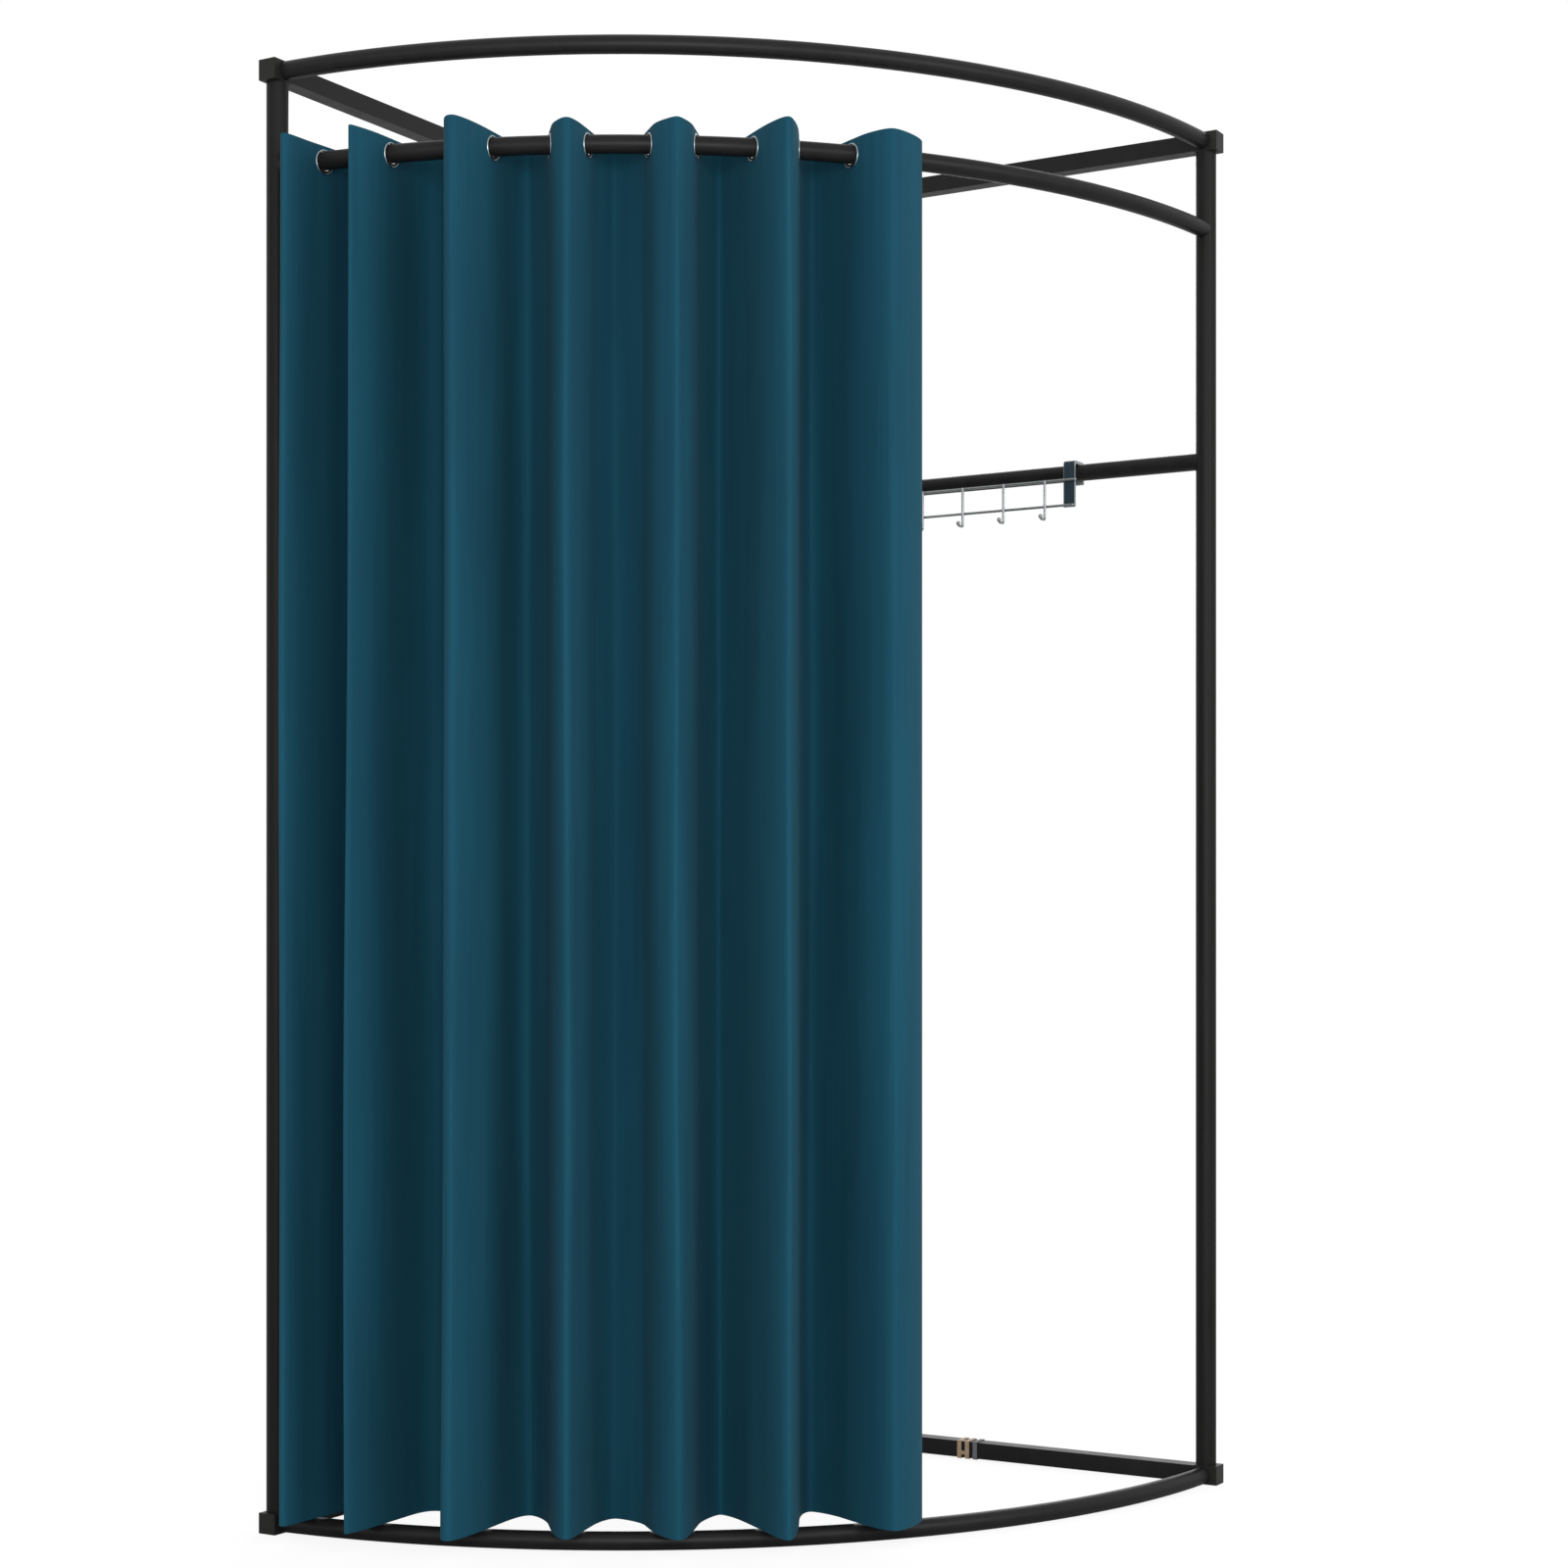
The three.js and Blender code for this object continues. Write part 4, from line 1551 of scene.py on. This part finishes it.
    def _normal(self, length: float, height: float) -> Vector:
        """Outward direction of the cloth, towards the front for a front fold's tip.

        Args:
            length: length of cloth from the panel's left edge.
            height: height above the floor.

        Returns:
            The direction.
        """
        step = self.normal_step
        along = self._surface(length + step, height) - self._surface(length - step, height)
        up = self._surface(length, height + step) - self._surface(length, height - step)
        return along.cross(up).normalized()

    def _shade(
        self,
        mesh: bpy.types.Mesh,
        normals: Sequence[Vector],
        sides: Sequence[int],
        spots: Sequence[tuple[float, float]],
    ) -> None:
        """Sets the cloth's own normals, so that panels meet without a line, and its flat size as UV.

        Args:
            mesh: the panel's mesh.
            normals: outward direction at each corner.
            sides: 1 for faces of the front, -1 of the back and 0 of the edge.
            spots: length and height of each corner.
        """
        count = len(normals)
        layer = mesh.uv_layers.new(name="cloth")
        loops: list[Vector] = [Vector()] * len(mesh.loops)
        for polygon, side in zip(mesh.polygons, sides):
            for loop in polygon.loop_indices:
                corner = mesh.loops[loop].vertex_index % count
                loops[loop] = normals[corner] * side if side else polygon.normal.copy()
                length, height = spots[corner]
                layer.data[loop].uv = (self.flat_start + length, height)
        mesh.normals_split_custom_set(loops)


@dataclass
class EyeletRing:
    """A domed two-sided ring pressed round a hole in the cloth; the faces of its bore get a dark painted
    shade.
    """

    inner: float = 0.0146
    outer: float = 0.0171
    sleeve: float = 0.0153
    half: float = 0.0016
    lip: float = 0.0008
    # Width of the painted shade at the bore, and the reach along the axis of the drawn-in bottom of the
    # bore.
    shaded_bore_band: float = 0.0003
    swell: float = 0.0035
    row_tolerance: float = 0.00003
    dome_share: float = 0.75
    rim_edge: float = 0.0001
    crease: float = 50.0
    sides: int = 48
    dome_steps: int = 7

    def build(self, name: str, centre: Vector, axis: Vector) -> bpy.types.Object:
        """Makes the ring.

        Args:
            name: the piece's name.
            centre: middle of the ring.
            axis: level direction that the rail runs through it.

        Returns:
            The ring's object.
        """
        dome = self._dome()
        profile = dome + [(r, -h) for r, h in dome[-2::-1]]
        ring = lathe(profile, self.sides, turner(centre, axis)).piece(name, self.crease)
        # Faces of the bore get the second finish, a painted shade.
        for polygon in ring.data.polygons:
            offset = polygon.center - centre
            spoke = (offset - axis * offset.dot(axis)).length
            polygon.material_index = 1 if spoke < self.inner + self.shaded_bore_band else 0
        for vertex in ring.data.vertices:
            offset = vertex.co - centre
            spoke = offset - axis * offset.dot(axis)
            if spoke.length < self.inner + self.row_tolerance and abs(offset.dot(axis)) < self.shaded_bore_band:
                vertex.co -= spoke * (self.swell / self.inner * max(0.0, -spoke.z / spoke.length))
        return ring

    def _dome(self) -> list[tuple[float, float]]:
        """Half of the profile, over the dome.

        Returns:
            Radius and height of each point, from the sleeve to the bore.
        """
        points = [(self.inner, 0.0)]
        middle = (self.inner + self.outer) / 2
        reach = (self.outer - self.inner) / 2
        rise = self.half - self.lip * self.dome_share
        for k in range(self.dome_steps + 1):
            angle = math.pi * (1 - k / self.dome_steps)
            points.append((middle + reach * math.cos(angle), self.half - rise + rise * math.sin(angle)))
        points.append((self.outer - self.rim_edge, self.lip))
        points.append((self.sleeve, self.lip))
        return points[::-1]


@dataclass
class Curtain:
    """The eyelet curtain: seven front folds, six back folds and fourteen eyelets on the bowed rail."""

    plan: Plan
    shop: PaintShop
    cloth: Cloth = field(default_factory=Cloth)
    ring: EyeletRing = field(default_factory=EyeletRing)
    places: tuple[float, ...] = (0.0369, 0.1069, 0.1956, 0.2853, 0.3776, 0.471, 0.5743)
    widths: tuple[float, ...] = (0.725, 0.65, 1.033, 0.833, 1.033, 1.033, 1.64)
    depths: tuple[float, ...] = (1.11, 1.2, 1.29, 0.89, 0.97, 1.26, 1.03)
    tips: tuple[float, ...] = (0.12, -0.08, 0.0, 0.08, 0.065, 0.0, -0.16)
    roundings: tuple[tuple[float, float], ...] = (
        (0.3, 0.6), (0.5, 0.2), (0.5, 0.3), (0.3, 0.4), (0.2, 0.2), (0.3, 0.2), (0.3, 0.28),
    )
    pulls: tuple[float, float] = (0.5, 0.5)
    last_pulls: tuple[float, float] = (0.5, 0.34)
    growths: tuple[float, ...] = (0.026, 0.08, 0.058, 0.1, 0.108, 0.082, 0.07)
    tilts: tuple[tuple[float, float], ...] = (
        (12.0, 11.0), (14.0, 11.0), (13.0, 14.0), (15.0, 14.0), (15.0, 14.0), (15.0, 15.0), (15.0, 15.0),
    )
    back_depths: tuple[float, ...] = (0.94, 1.1, 1.03, 0.87, 1.07, 0.99)
    back_tips: tuple[float, ...] = (0.0, -0.043, -0.071, -0.093, 0.023, 0.0)
    back_roundings: tuple[tuple[float, float], ...] = (
        (0.4, 0.4), (0.7, 0.4), (0.5, 0.2), (0.3, 0.2), (0.2, 0.2), (0.3, 0.3),
    )
    back_growth: float = 0.03
    fold_width: float = 0.060
    fold_depth: float = 0.070
    sways: tuple[float, ...] = (0.0012, 0.0015, 0.0018, 0.0016, 0.0018, 0.0016, 0.0012)
    back_sway: float = 0.0015
    front_phase: float = 1.7
    back_phase: float = 2.9
    front_cells: int = 40
    back_cells: int = 34
    blend_inset: float = 0.0015

    def build(self) -> None:
        """Builds the panels from left to right, then the eyelets."""
        flat = 0.0
        for number in range(1, len(self.places) + 1):
            flat += self._front(number, flat)
            if number < len(self.places):
                flat += self._back(number, flat)
        LOG.info("curtain cloth %.3f m wide when flat", flat)

    def _front_shape(self, number: int) -> FoldShape:
        """The front fold of a number.

        Args:
            number: counted from 1 at the left post.

        Returns:
            The fold's shape.
        """
        k = number - 1
        width = self.widths[k] * self.fold_width
        return FoldShape(
            place=self.places[k] * self.plan.rail.length,
            width=width,
            depth=self.depths[k] * self.fold_depth,
            tip=self.tips[k] * width,
            tilts=(math.radians(self.tilts[k][0]), math.radians(self.tilts[k][1])),
            pulls=self.last_pulls if number == len(self.places) else self.pulls,
            roundings=self.roundings[k],
            growth=self.growths[k],
            sway=self.sways[k],
            phase=self.front_phase * number,
        )

    def _back_shape(self, number: int) -> FoldShape:
        """The back fold to the right of a front fold.

        Args:
            number: the front fold's number.

        Returns:
            The fold's shape.
        """
        k = number - 1
        left, right = self._front_shape(number), self._front_shape(number + 1)
        start = left.place + left.width / 2
        end = right.place - right.width / 2
        return FoldShape(
            place=(start + end) / 2,
            width=end - start,
            depth=self.back_depths[k] * self.fold_depth,
            tip=self.back_tips[k] * (end - start),
            tilts=(left.tilts[1], right.tilts[0]),
            pulls=self.pulls,
            roundings=self.back_roundings[k],
            growth=self.back_growth,
            sway=self.back_sway,
            phase=self.back_phase * number,
        )

    def _front(self, number: int, flat: float) -> float:
        """Builds a front fold with its eyelets.

        Args:
            number: counted from 1 at the left post.
            flat: cloth already used, by width.

        Returns:
            Its flat width.
        """
        shape = self._front_shape(number)
        cloth = self.cloth
        trim = cloth.seam_gap
        tails = (
            cloth.crossing_half + (cloth.edge_hem if number == 1 else -trim),
            cloth.crossing_half + (cloth.edge_hem if number == len(self.places) else -trim),
        )
        path = FoldPath(shape, cloth, 1, tails)
        panel = ClothPanel(path, cloth, self.plan.rail, self.front_cells, flat_start=flat)
        crossings = [path.crossing(side) for side in Side]
        node = f"curtain_front_fold_{number}"
        piece = self.shop.coat(panel.build(f"front_fold_{number}", crossings), CLOTH)
        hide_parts(node)
        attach(piece, Body.of_fold(number))
        rings = [self._eyelet(number, side, shape) for side in Side]
        path.length
        LOG.info("%s built, %.3f m of cloth", piece.name, path.length)
        return path.length

    def _eyelet(self, number: int, side: Side, shape: FoldShape) -> bpy.types.Object:
        """Builds the eyelet at one crossing of a front fold.

        Args:
            number: the fold's number.
            side: which crossing.
            shape: the fold's shape.

        Returns:
            The eyelet.
        """
        place = shape.place + side.value * shape.width / 2
        along = self.plan.rail.along(place)
        turn = -side.value * shape.tilts[0 if side is Side.LEFT else 1]
        axis = Vector((
            along.x * math.cos(turn) - along.y * math.sin(turn),
            along.x * math.sin(turn) + along.y * math.cos(turn),
            0.0,
        ))
        centre = self.plan.rail.point(place) + Vector((0.0, 0.0, self.cloth.eyelet_height))
        count = 2 * number - (1 if side is Side.LEFT else 0)
        ring = self.shop.coat(self.ring.build(f"eyelet_{count}", centre, axis), RING_METAL, RING_BORE_PAINTED_SHADE)
        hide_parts(f"curtain_eyelet_{count}")
        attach(ring, Body.of_fold(number))
        return ring

    def _back(self, number: int, flat: float) -> float:
        """Builds the back fold after a front fold.

        Args:
            number: the front fold's number.
            flat: cloth already used, by width.

        Returns:
            Its flat width.
        """
        shape = self._back_shape(number)
        path = FoldPath(shape, self.cloth, -1, (0.0, 0.0))
        panel = ClothPanel(path, self.cloth, self.plan.rail, self.back_cells, flat_start=flat)
        piece = self.shop.coat(panel.build(f"back_fold_{number}", ()), CLOTH)
        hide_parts(f"curtain_back_fold_{number}")
        (first_u, first_v), (last_u, last_v) = path.flanks[0][0], path.flanks[1][-1]
        rail = self.plan.rail
        start = rail.point(shape.place + first_u + self.blend_inset, first_v)
        end = rail.point(shape.place + last_u - self.blend_inset, last_v)
        Body.of_fold(number)
        Body.of_fold(number + 1)
        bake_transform(piece)
        path.length
        LOG.info("%s built, %.3f m of cloth", piece.name, path.length)
        return path.length


# Hook rack


@dataclass
class HookRack:
    """Two straps over the bar that carry two wires and five hooks, facing the cabin's inside.

    Points are given as x along the bar from the right strap, y towards the cabin's inside and z from
    the bar's axis.
    """

    plan: Plan
    shop: PaintShop
    offset: float = 0.2146
    span: float = 0.3548
    strap_width: float = 0.0185
    strap_thickness: float = 0.0045
    strap_bend: float = 0.003
    strap_drop: float = 0.053
    strap_back_drop: float = 0.016
    wire_radius: float = 0.002
    wire_overhang: float = 0.004
    upper_drop: float = 0.012
    lower_lift: float = 0.0025
    hooks: int = 5
    pitch: float = 0.0699
    hook_drop: float = 0.0726
    hook_bend: float = 0.003
    hook_foot: float = 0.009
    hook_tip: float = 0.0005
    ball_radius: float = 0.0033
    strap_edge: float = 0.0005
    strap_crease: float = 40.0
    wire_crease: float = 60.0
    bend_steps: int = 6
    ball_steps: int = 10
    round_steps: int = 4
    wire_sides: int = 20

    def build(self) -> None:
        """Builds the straps, the wires and the hooks."""
        for name, place in (("rack_right_strap", 0.0), ("rack_left_strap", self.span)):
            self._finish(self._strap(f"{name}_fine", place), name, STRAP_PAINT, STRAP_METAL)
        inner = self.plan.tube_radius + self.plan.fit_gap
        outer = inner + self.strap_thickness
        plane = outer + self.plan.fit_gap + self.wire_radius
        for name, height, reach in (
            ("rack_upper_wire", -self.upper_drop, self.strap_width / 2 + self.wire_overhang),
            ("rack_lower_wire", self.lower_lift - self.strap_drop, self.strap_width / 2),
        ):
            route = [self._at(-reach, plane, height), self._at(self.span + reach, plane, height)]
            self._finish(self._wire(f"{name}_fine", route), name, WIRE_METAL)
        hook_plane = plane + 2 * self.wire_radius + self.plan.fit_gap
        first = (self.span - (self.hooks - 1) * self.pitch) / 2
        for k in range(self.hooks):
            route = self._hook_route(first + k * self.pitch, hook_plane)
            hook = self._wire(f"rack_hook_{k + 1}_fine", route, self.ball_radius)
            self._finish(hook, f"rack_hook_{k + 1}", WIRE_METAL)

    def _at(self, x: float, y: float, z: float) -> Vector:
        """A point of the rack in the frame.

        Args:
            x: along the bar.
            y: towards the cabin's inside.
            z: up from the bar's axis.

        Returns:
            The point.
        """
        bar = self.plan.bar
        along = bar.along(0.0)
        inward = Vector((-along.y, along.x, 0.0))
        start = bar.point(self.offset) + Vector((0.0, 0.0, self.plan.bar_height))
        return start + along * x + inward * y + Vector((0.0, 0.0, z))

    def _strap(self, name: str, place: float) -> bpy.types.Object:
        """Makes one strap with rounded bends, painted outside and bare inside and at its edges.

        Args:
            name: the strap's name.
            place: x of its middle.

        Returns:
            The strap.
        """
        inner = self.plan.tube_radius + self.plan.fit_gap
        outer = inner + self.strap_thickness
        bend = self.strap_bend

        def line(reach: float, rounding: float) -> list[tuple[float, float]]:
            """One side of the strip, from the front leg's foot over the bar to the back leg's foot.

            Args:
                reach: distance from the bar's axis.
                rounding: radius of the bends.

            Returns:
                y and z of each point.
            """
            points = [(reach, -self.strap_drop)]
            for turn, (cy, cz) in ((0.0, (1, 1)), (math.pi / 2, (-1, 1))):
                for k in range(self.bend_steps + 1):
                    angle = turn + math.pi / 2 * k / self.bend_steps
                    y = cy * (reach - rounding) + rounding * math.cos(angle)
                    z = cz * (reach - rounding) + rounding * math.sin(angle)
                    points.append((y, z))
            points.append((-reach, -self.strap_back_drop))
            return points

        outside = line(outer, bend + self.strap_thickness / 2)
        inside = line(inner, bend - self.strap_thickness / 2)
        loop = outside + inside[::-1]
        skin = Skin()
        half = self.strap_width / 2
        edges = (-half, -half + self.strap_edge, half - self.strap_edge, half)
        rings = [skin.ring(self._at(place + x, y, z) for y, z in loop) for x in edges]
        for first, second in zip(rings, rings[1:]):
            skin.bridge(first, second)
        count = len(outside)
        for ring, flip in ((rings[0], True), (rings[-1], False)):
            for k in range(count - 1):
                quad = (ring[k], ring[k + 1], ring[2 * count - 2 - k], ring[2 * count - 1 - k])
                skin.faces.append(tuple(reversed(quad)) if flip else quad)
        made = skin.piece(name, self.strap_crease)
        first = len(loop)
        for polygon in made.data.polygons:
            painted = first <= polygon.index < first + count - 1
            polygon.material_index = 0 if painted else 1
        return made

    def _hook_route(self, place: float, plane: float) -> list[Vector]:
        """Points of a hook's wire: down the shank, level along the foot and up to the tip.

        Args:
            place: x of the hook.
            plane: y of its shank.

        Returns:
            The points.
        """
        top = self.wire_radius - self.upper_drop
        floor = self.wire_radius - self.hook_drop
        bend = self.hook_bend
        route = [(plane, top), (plane, (top + floor) / 2)]
        toe = plane + bend + self.hook_foot
        for start, middle in ((math.pi, plane + bend), (1.5 * math.pi, toe)):
            for k in range(self.bend_steps + 1):
                angle = start + math.pi / 2 * k / self.bend_steps
                route.append((middle + bend * math.cos(angle), floor + bend + bend * math.sin(angle)))
        route.append((toe + bend, floor + bend + self.hook_tip))
        return [self._at(place, y, z) for y, z in route]

    def _wire(self, name: str, route: Sequence[Vector], ball: float = 0.0) -> bpy.types.Object:
        """Makes a round wire along a route.

        Args:
            name: the piece's name.
            route: points along the wire's axis.
            ball: radius of a ball about the last point, or 0 for a rounded end.

        Returns:
            The wire's object.
        """
        skin = Skin()
        radius = self.wire_radius
        first = (route[1] - route[0]).normalized()
        last = (route[-1] - route[-2]).normalized()
        ends = [(1 - math.cos(a), math.sin(a)) for a in self._quarter()]
        stations = [(route[0] + first * radius * lift, first, radius * size) for lift, size in ends]
        for k in range(1, len(route) - 1):
            after = (route[k + 1] - route[k]).normalized()
            before = (route[k] - route[k - 1]).normalized()
            stations.append((route[k], (after + before).normalized(), radius))
        if ball:
            neck = math.asin(radius / ball)
            turns = [neck + (math.pi - neck) * k / self.ball_steps for k in range(self.ball_steps)]
            stations += [(route[-1] - last * ball * math.cos(a), last, ball * math.sin(a)) for a in turns]
        else:
            stations += [
                (route[-1] - last * radius * lift, last, radius * size) for lift, size in reversed(ends)
            ]
        spare = Vector((0.0, 0.0, 1.0)) if abs(first.z) < 0.5 else self.plan.bar.along(0.0)
        rings = []
        for point, along, size in stations:
            side = along.cross(spare).normalized()
            up = side.cross(along)
            rings.append(skin.ring(
                point + (side * math.cos(a) + up * math.sin(a)) * size
                for a in (2 * math.pi * k / self.wire_sides for k in range(self.wire_sides))
            ))
        for one, two in zip(rings, rings[1:]):
            skin.bridge(two, one)
        skin.fan(rings[0], route[0], True)
        skin.fan(rings[-1], route[-1] + last * ball, False)
        return skin.piece(name, self.wire_crease)

    def _quarter(self) -> list[float]:
        """Angles of a rounded end, from near its tip to its full radius."""
        return [math.pi / 2 * k / self.round_steps for k in range(1, self.round_steps + 1)]

    def _finish(self, piece: bpy.types.Object, node: str, *finishes: Finish) -> None:
        """Coats a piece, lets it stand for its solid and puts it on the rack's body.

        Args:
            piece: the object.
            node: the solid's name.
            finishes: its finishes, in the order of its faces' material numbers.
        """
        self.shop.coat(piece, *finishes)
        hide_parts(node)
        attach(piece, Body.RACK.value)
        LOG.info("%s built", piece.name)


@dataclass
class BeamWraps:
    """The clip and the band round the lower right beam."""

    shop: PaintShop
    edge: float = 0.0004

    def build(self) -> None:
        """Softens the two wraps' edges and finishes them."""
        for node, finish in (("beam_clip", CLIP_PLASTIC), ("beam_band", BAND_RUBBER)):
            piece = FRAME["nodes"][node]
            soften(piece, self.edge)
            self.shop.coat(piece, finish)
            LOG.info("%s finished", node)


# Studio


@dataclass(frozen=True)
class SoftLamp:
    """A large square lamp that looks at the cabin."""

    name: str
    place: tuple[float, float, float]
    size: float
    power: float
    aim: tuple[float, float, float] = (0.0, -0.6, 1.0)

    def build(self) -> None:
        """Adds the lamp."""
        data = bpy.data.lights.new(self.name, "AREA")
        data.shape = "SQUARE"
        data.size = self.size
        data.energy = self.power
        lamp = bpy.data.objects.new(self.name, data)
        lamp.location = self.place
        lamp.rotation_euler = (Vector(self.aim) - Vector(self.place)).to_track_quat("-Z", "Y").to_euler()
        bpy.context.scene.collection.objects.link(lamp)


@dataclass
class Studio:
    """Camera, pale floor, white surround and soft lamps."""

    camera_place: tuple[float, float, float] = (-0.94171, -4.49977, 0.81118)
    camera_turn: float = 14.31
    lens: float = 63.52
    sensor: float = 36.0
    shift: float = 0.0968
    surround: float = 1.0
    lamps: tuple[SoftLamp, ...] = (
        SoftLamp("key_lamp", (2.6, -4.6, 2.2), 2.2, 70.0),
        SoftLamp("front_lamp", (-0.9, -6.0, 1.5), 2.4, 125.0),
        SoftLamp("side_lamp", (-3.2, -4.4, 1.8), 2.8, 30.0),
        SoftLamp("back_lamp", (1.5, 3.5, 3.0), 2.5, 60.0),
    )
    shadow_share: float = 0.12
    floor_fade: tuple[float, float] = (0.5, 1.7)
    floor_size: float = 14.0
    floor_drop: float = 0.0002
    floor_middle: tuple[float, float, float] = (0.0, -0.6, 0.0)
    floor_tone: float = 0.5
    floor_seen: float = 0.92
    floor_roughness: float = 0.9
    floor_specular: float = 0.1
    clip_end: float = 60.0

    def build_camera(self) -> None:
        """Adds the camera at the photograph's place."""
        data = bpy.data.cameras.new("camera")
        data.lens = self.lens
        data.sensor_width = self.sensor
        data.shift_y = self.shift
        data.clip_end = self.clip_end
        camera = bpy.data.objects.new("camera", data)
        camera.location = self.camera_place
        camera.rotation_euler = (math.radians(90.0), 0.0, math.radians(-self.camera_turn))
        bpy.context.scene.collection.objects.link(camera)
        bpy.context.scene.camera = camera

    def build_light(self) -> None:
        """Adds the surround, the floor and the lamps."""
        self._surround()
        self._floor()
        for lamp in self.lamps:
            lamp.build()

    def _surround(self) -> None:
        """A plain white sky."""
        world = bpy.data.worlds.new("surround")
        bpy.context.scene.world = world
        world.use_nodes = True
        sky = world.node_tree.nodes["Background"]
        sky.inputs["Color"].default_value = (1.0, 1.0, 1.0, 1.0)
        sky.inputs["Strength"].default_value = self.surround

    def _floor(self) -> None:
        """A wide pale floor that keeps a soft shadow near the cabin and is white further out."""
        size, drop = self.floor_size, self.floor_drop
        skin = Skin()
        skin.ring(Vector((x * size, y * size, -drop)) for x, y in ((-1, -1), (1, -1), (1, 1), (-1, 1)))
        skin.faces.append((0, 1, 2, 3))
        floor = skin.piece("studio_floor")
        material = bpy.data.materials.new("floor_white")
        material.use_nodes = True
        tree = material.node_tree
        shader = tree.nodes["Principled BSDF"]
        shader.inputs["Roughness"].default_value = self.floor_roughness
        shader.inputs["Specular IOR Level"].default_value = self.floor_specular
        rays = tree.nodes.new("ShaderNodeLightPath")
        glow = tree.nodes.new("ShaderNodeEmission")
        glow.inputs["Strength"].default_value = 1.0
        place = tree.nodes.new("ShaderNodeTexCoord")
        distance = tree.nodes.new("ShaderNodeVectorMath")
        distance.operation = "DISTANCE"
        distance.inputs[1].default_value = self.floor_middle
        fade = tree.nodes.new("ShaderNodeMapRange")
        fade.interpolation_type = "SMOOTHSTEP"
        ends = (*self.floor_fade, 1 - self.shadow_share, 1.0)
        for name, value in zip(("From Min", "From Max", "To Min", "To Max"), ends):
            fade.inputs[name].default_value = value
        share = tree.nodes.new("ShaderNodeMath")
        share.operation = "MULTIPLY"
        mix = tree.nodes.new("ShaderNodeMixShader")
        tone = tree.nodes.new("ShaderNodeMix")
        tone.data_type = "RGBA"
        tone.inputs[6].default_value = (self.floor_tone,) * 3 + (1.0,)
        tone.inputs[7].default_value = (self.floor_seen,) * 3 + (1.0,)
        tree.links.new(rays.outputs["Is Camera Ray"], tone.inputs["Factor"])
        tree.links.new(tone.outputs[2], shader.inputs["Base Color"])
        tree.links.new(place.outputs["Object"], distance.inputs[0])
        tree.links.new(distance.outputs["Value"], fade.inputs["Value"])
        tree.links.new(rays.outputs["Is Camera Ray"], share.inputs[0])
        tree.links.new(fade.outputs["Result"], share.inputs[1])
        tree.links.new(share.outputs[0], mix.inputs["Fac"])
        tree.links.new(shader.outputs[0], mix.inputs[1])
        tree.links.new(glow.outputs[0], mix.inputs[2])
        tree.links.new(mix.outputs[0], tree.nodes["Material Output"].inputs["Surface"])
        floor.data.materials.append(material)


def main() -> None:
    """Builds the studio and every sub-assembly in order."""
    logging.basicConfig(level=logging.INFO, format="%(name)s: %(message)s")
    bpy.context.scene.view_settings.view_transform = "Standard"
    studio = Studio()
    studio.build_camera()
    shop = PaintShop()
    TubeFrame(PLAN, shop).build()
    Curtain(PLAN, shop).build()
    HookRack(PLAN, shop).build()
    BeamWraps(shop).build()
    studio.build_light()


if __name__ == "__main__":
    main()
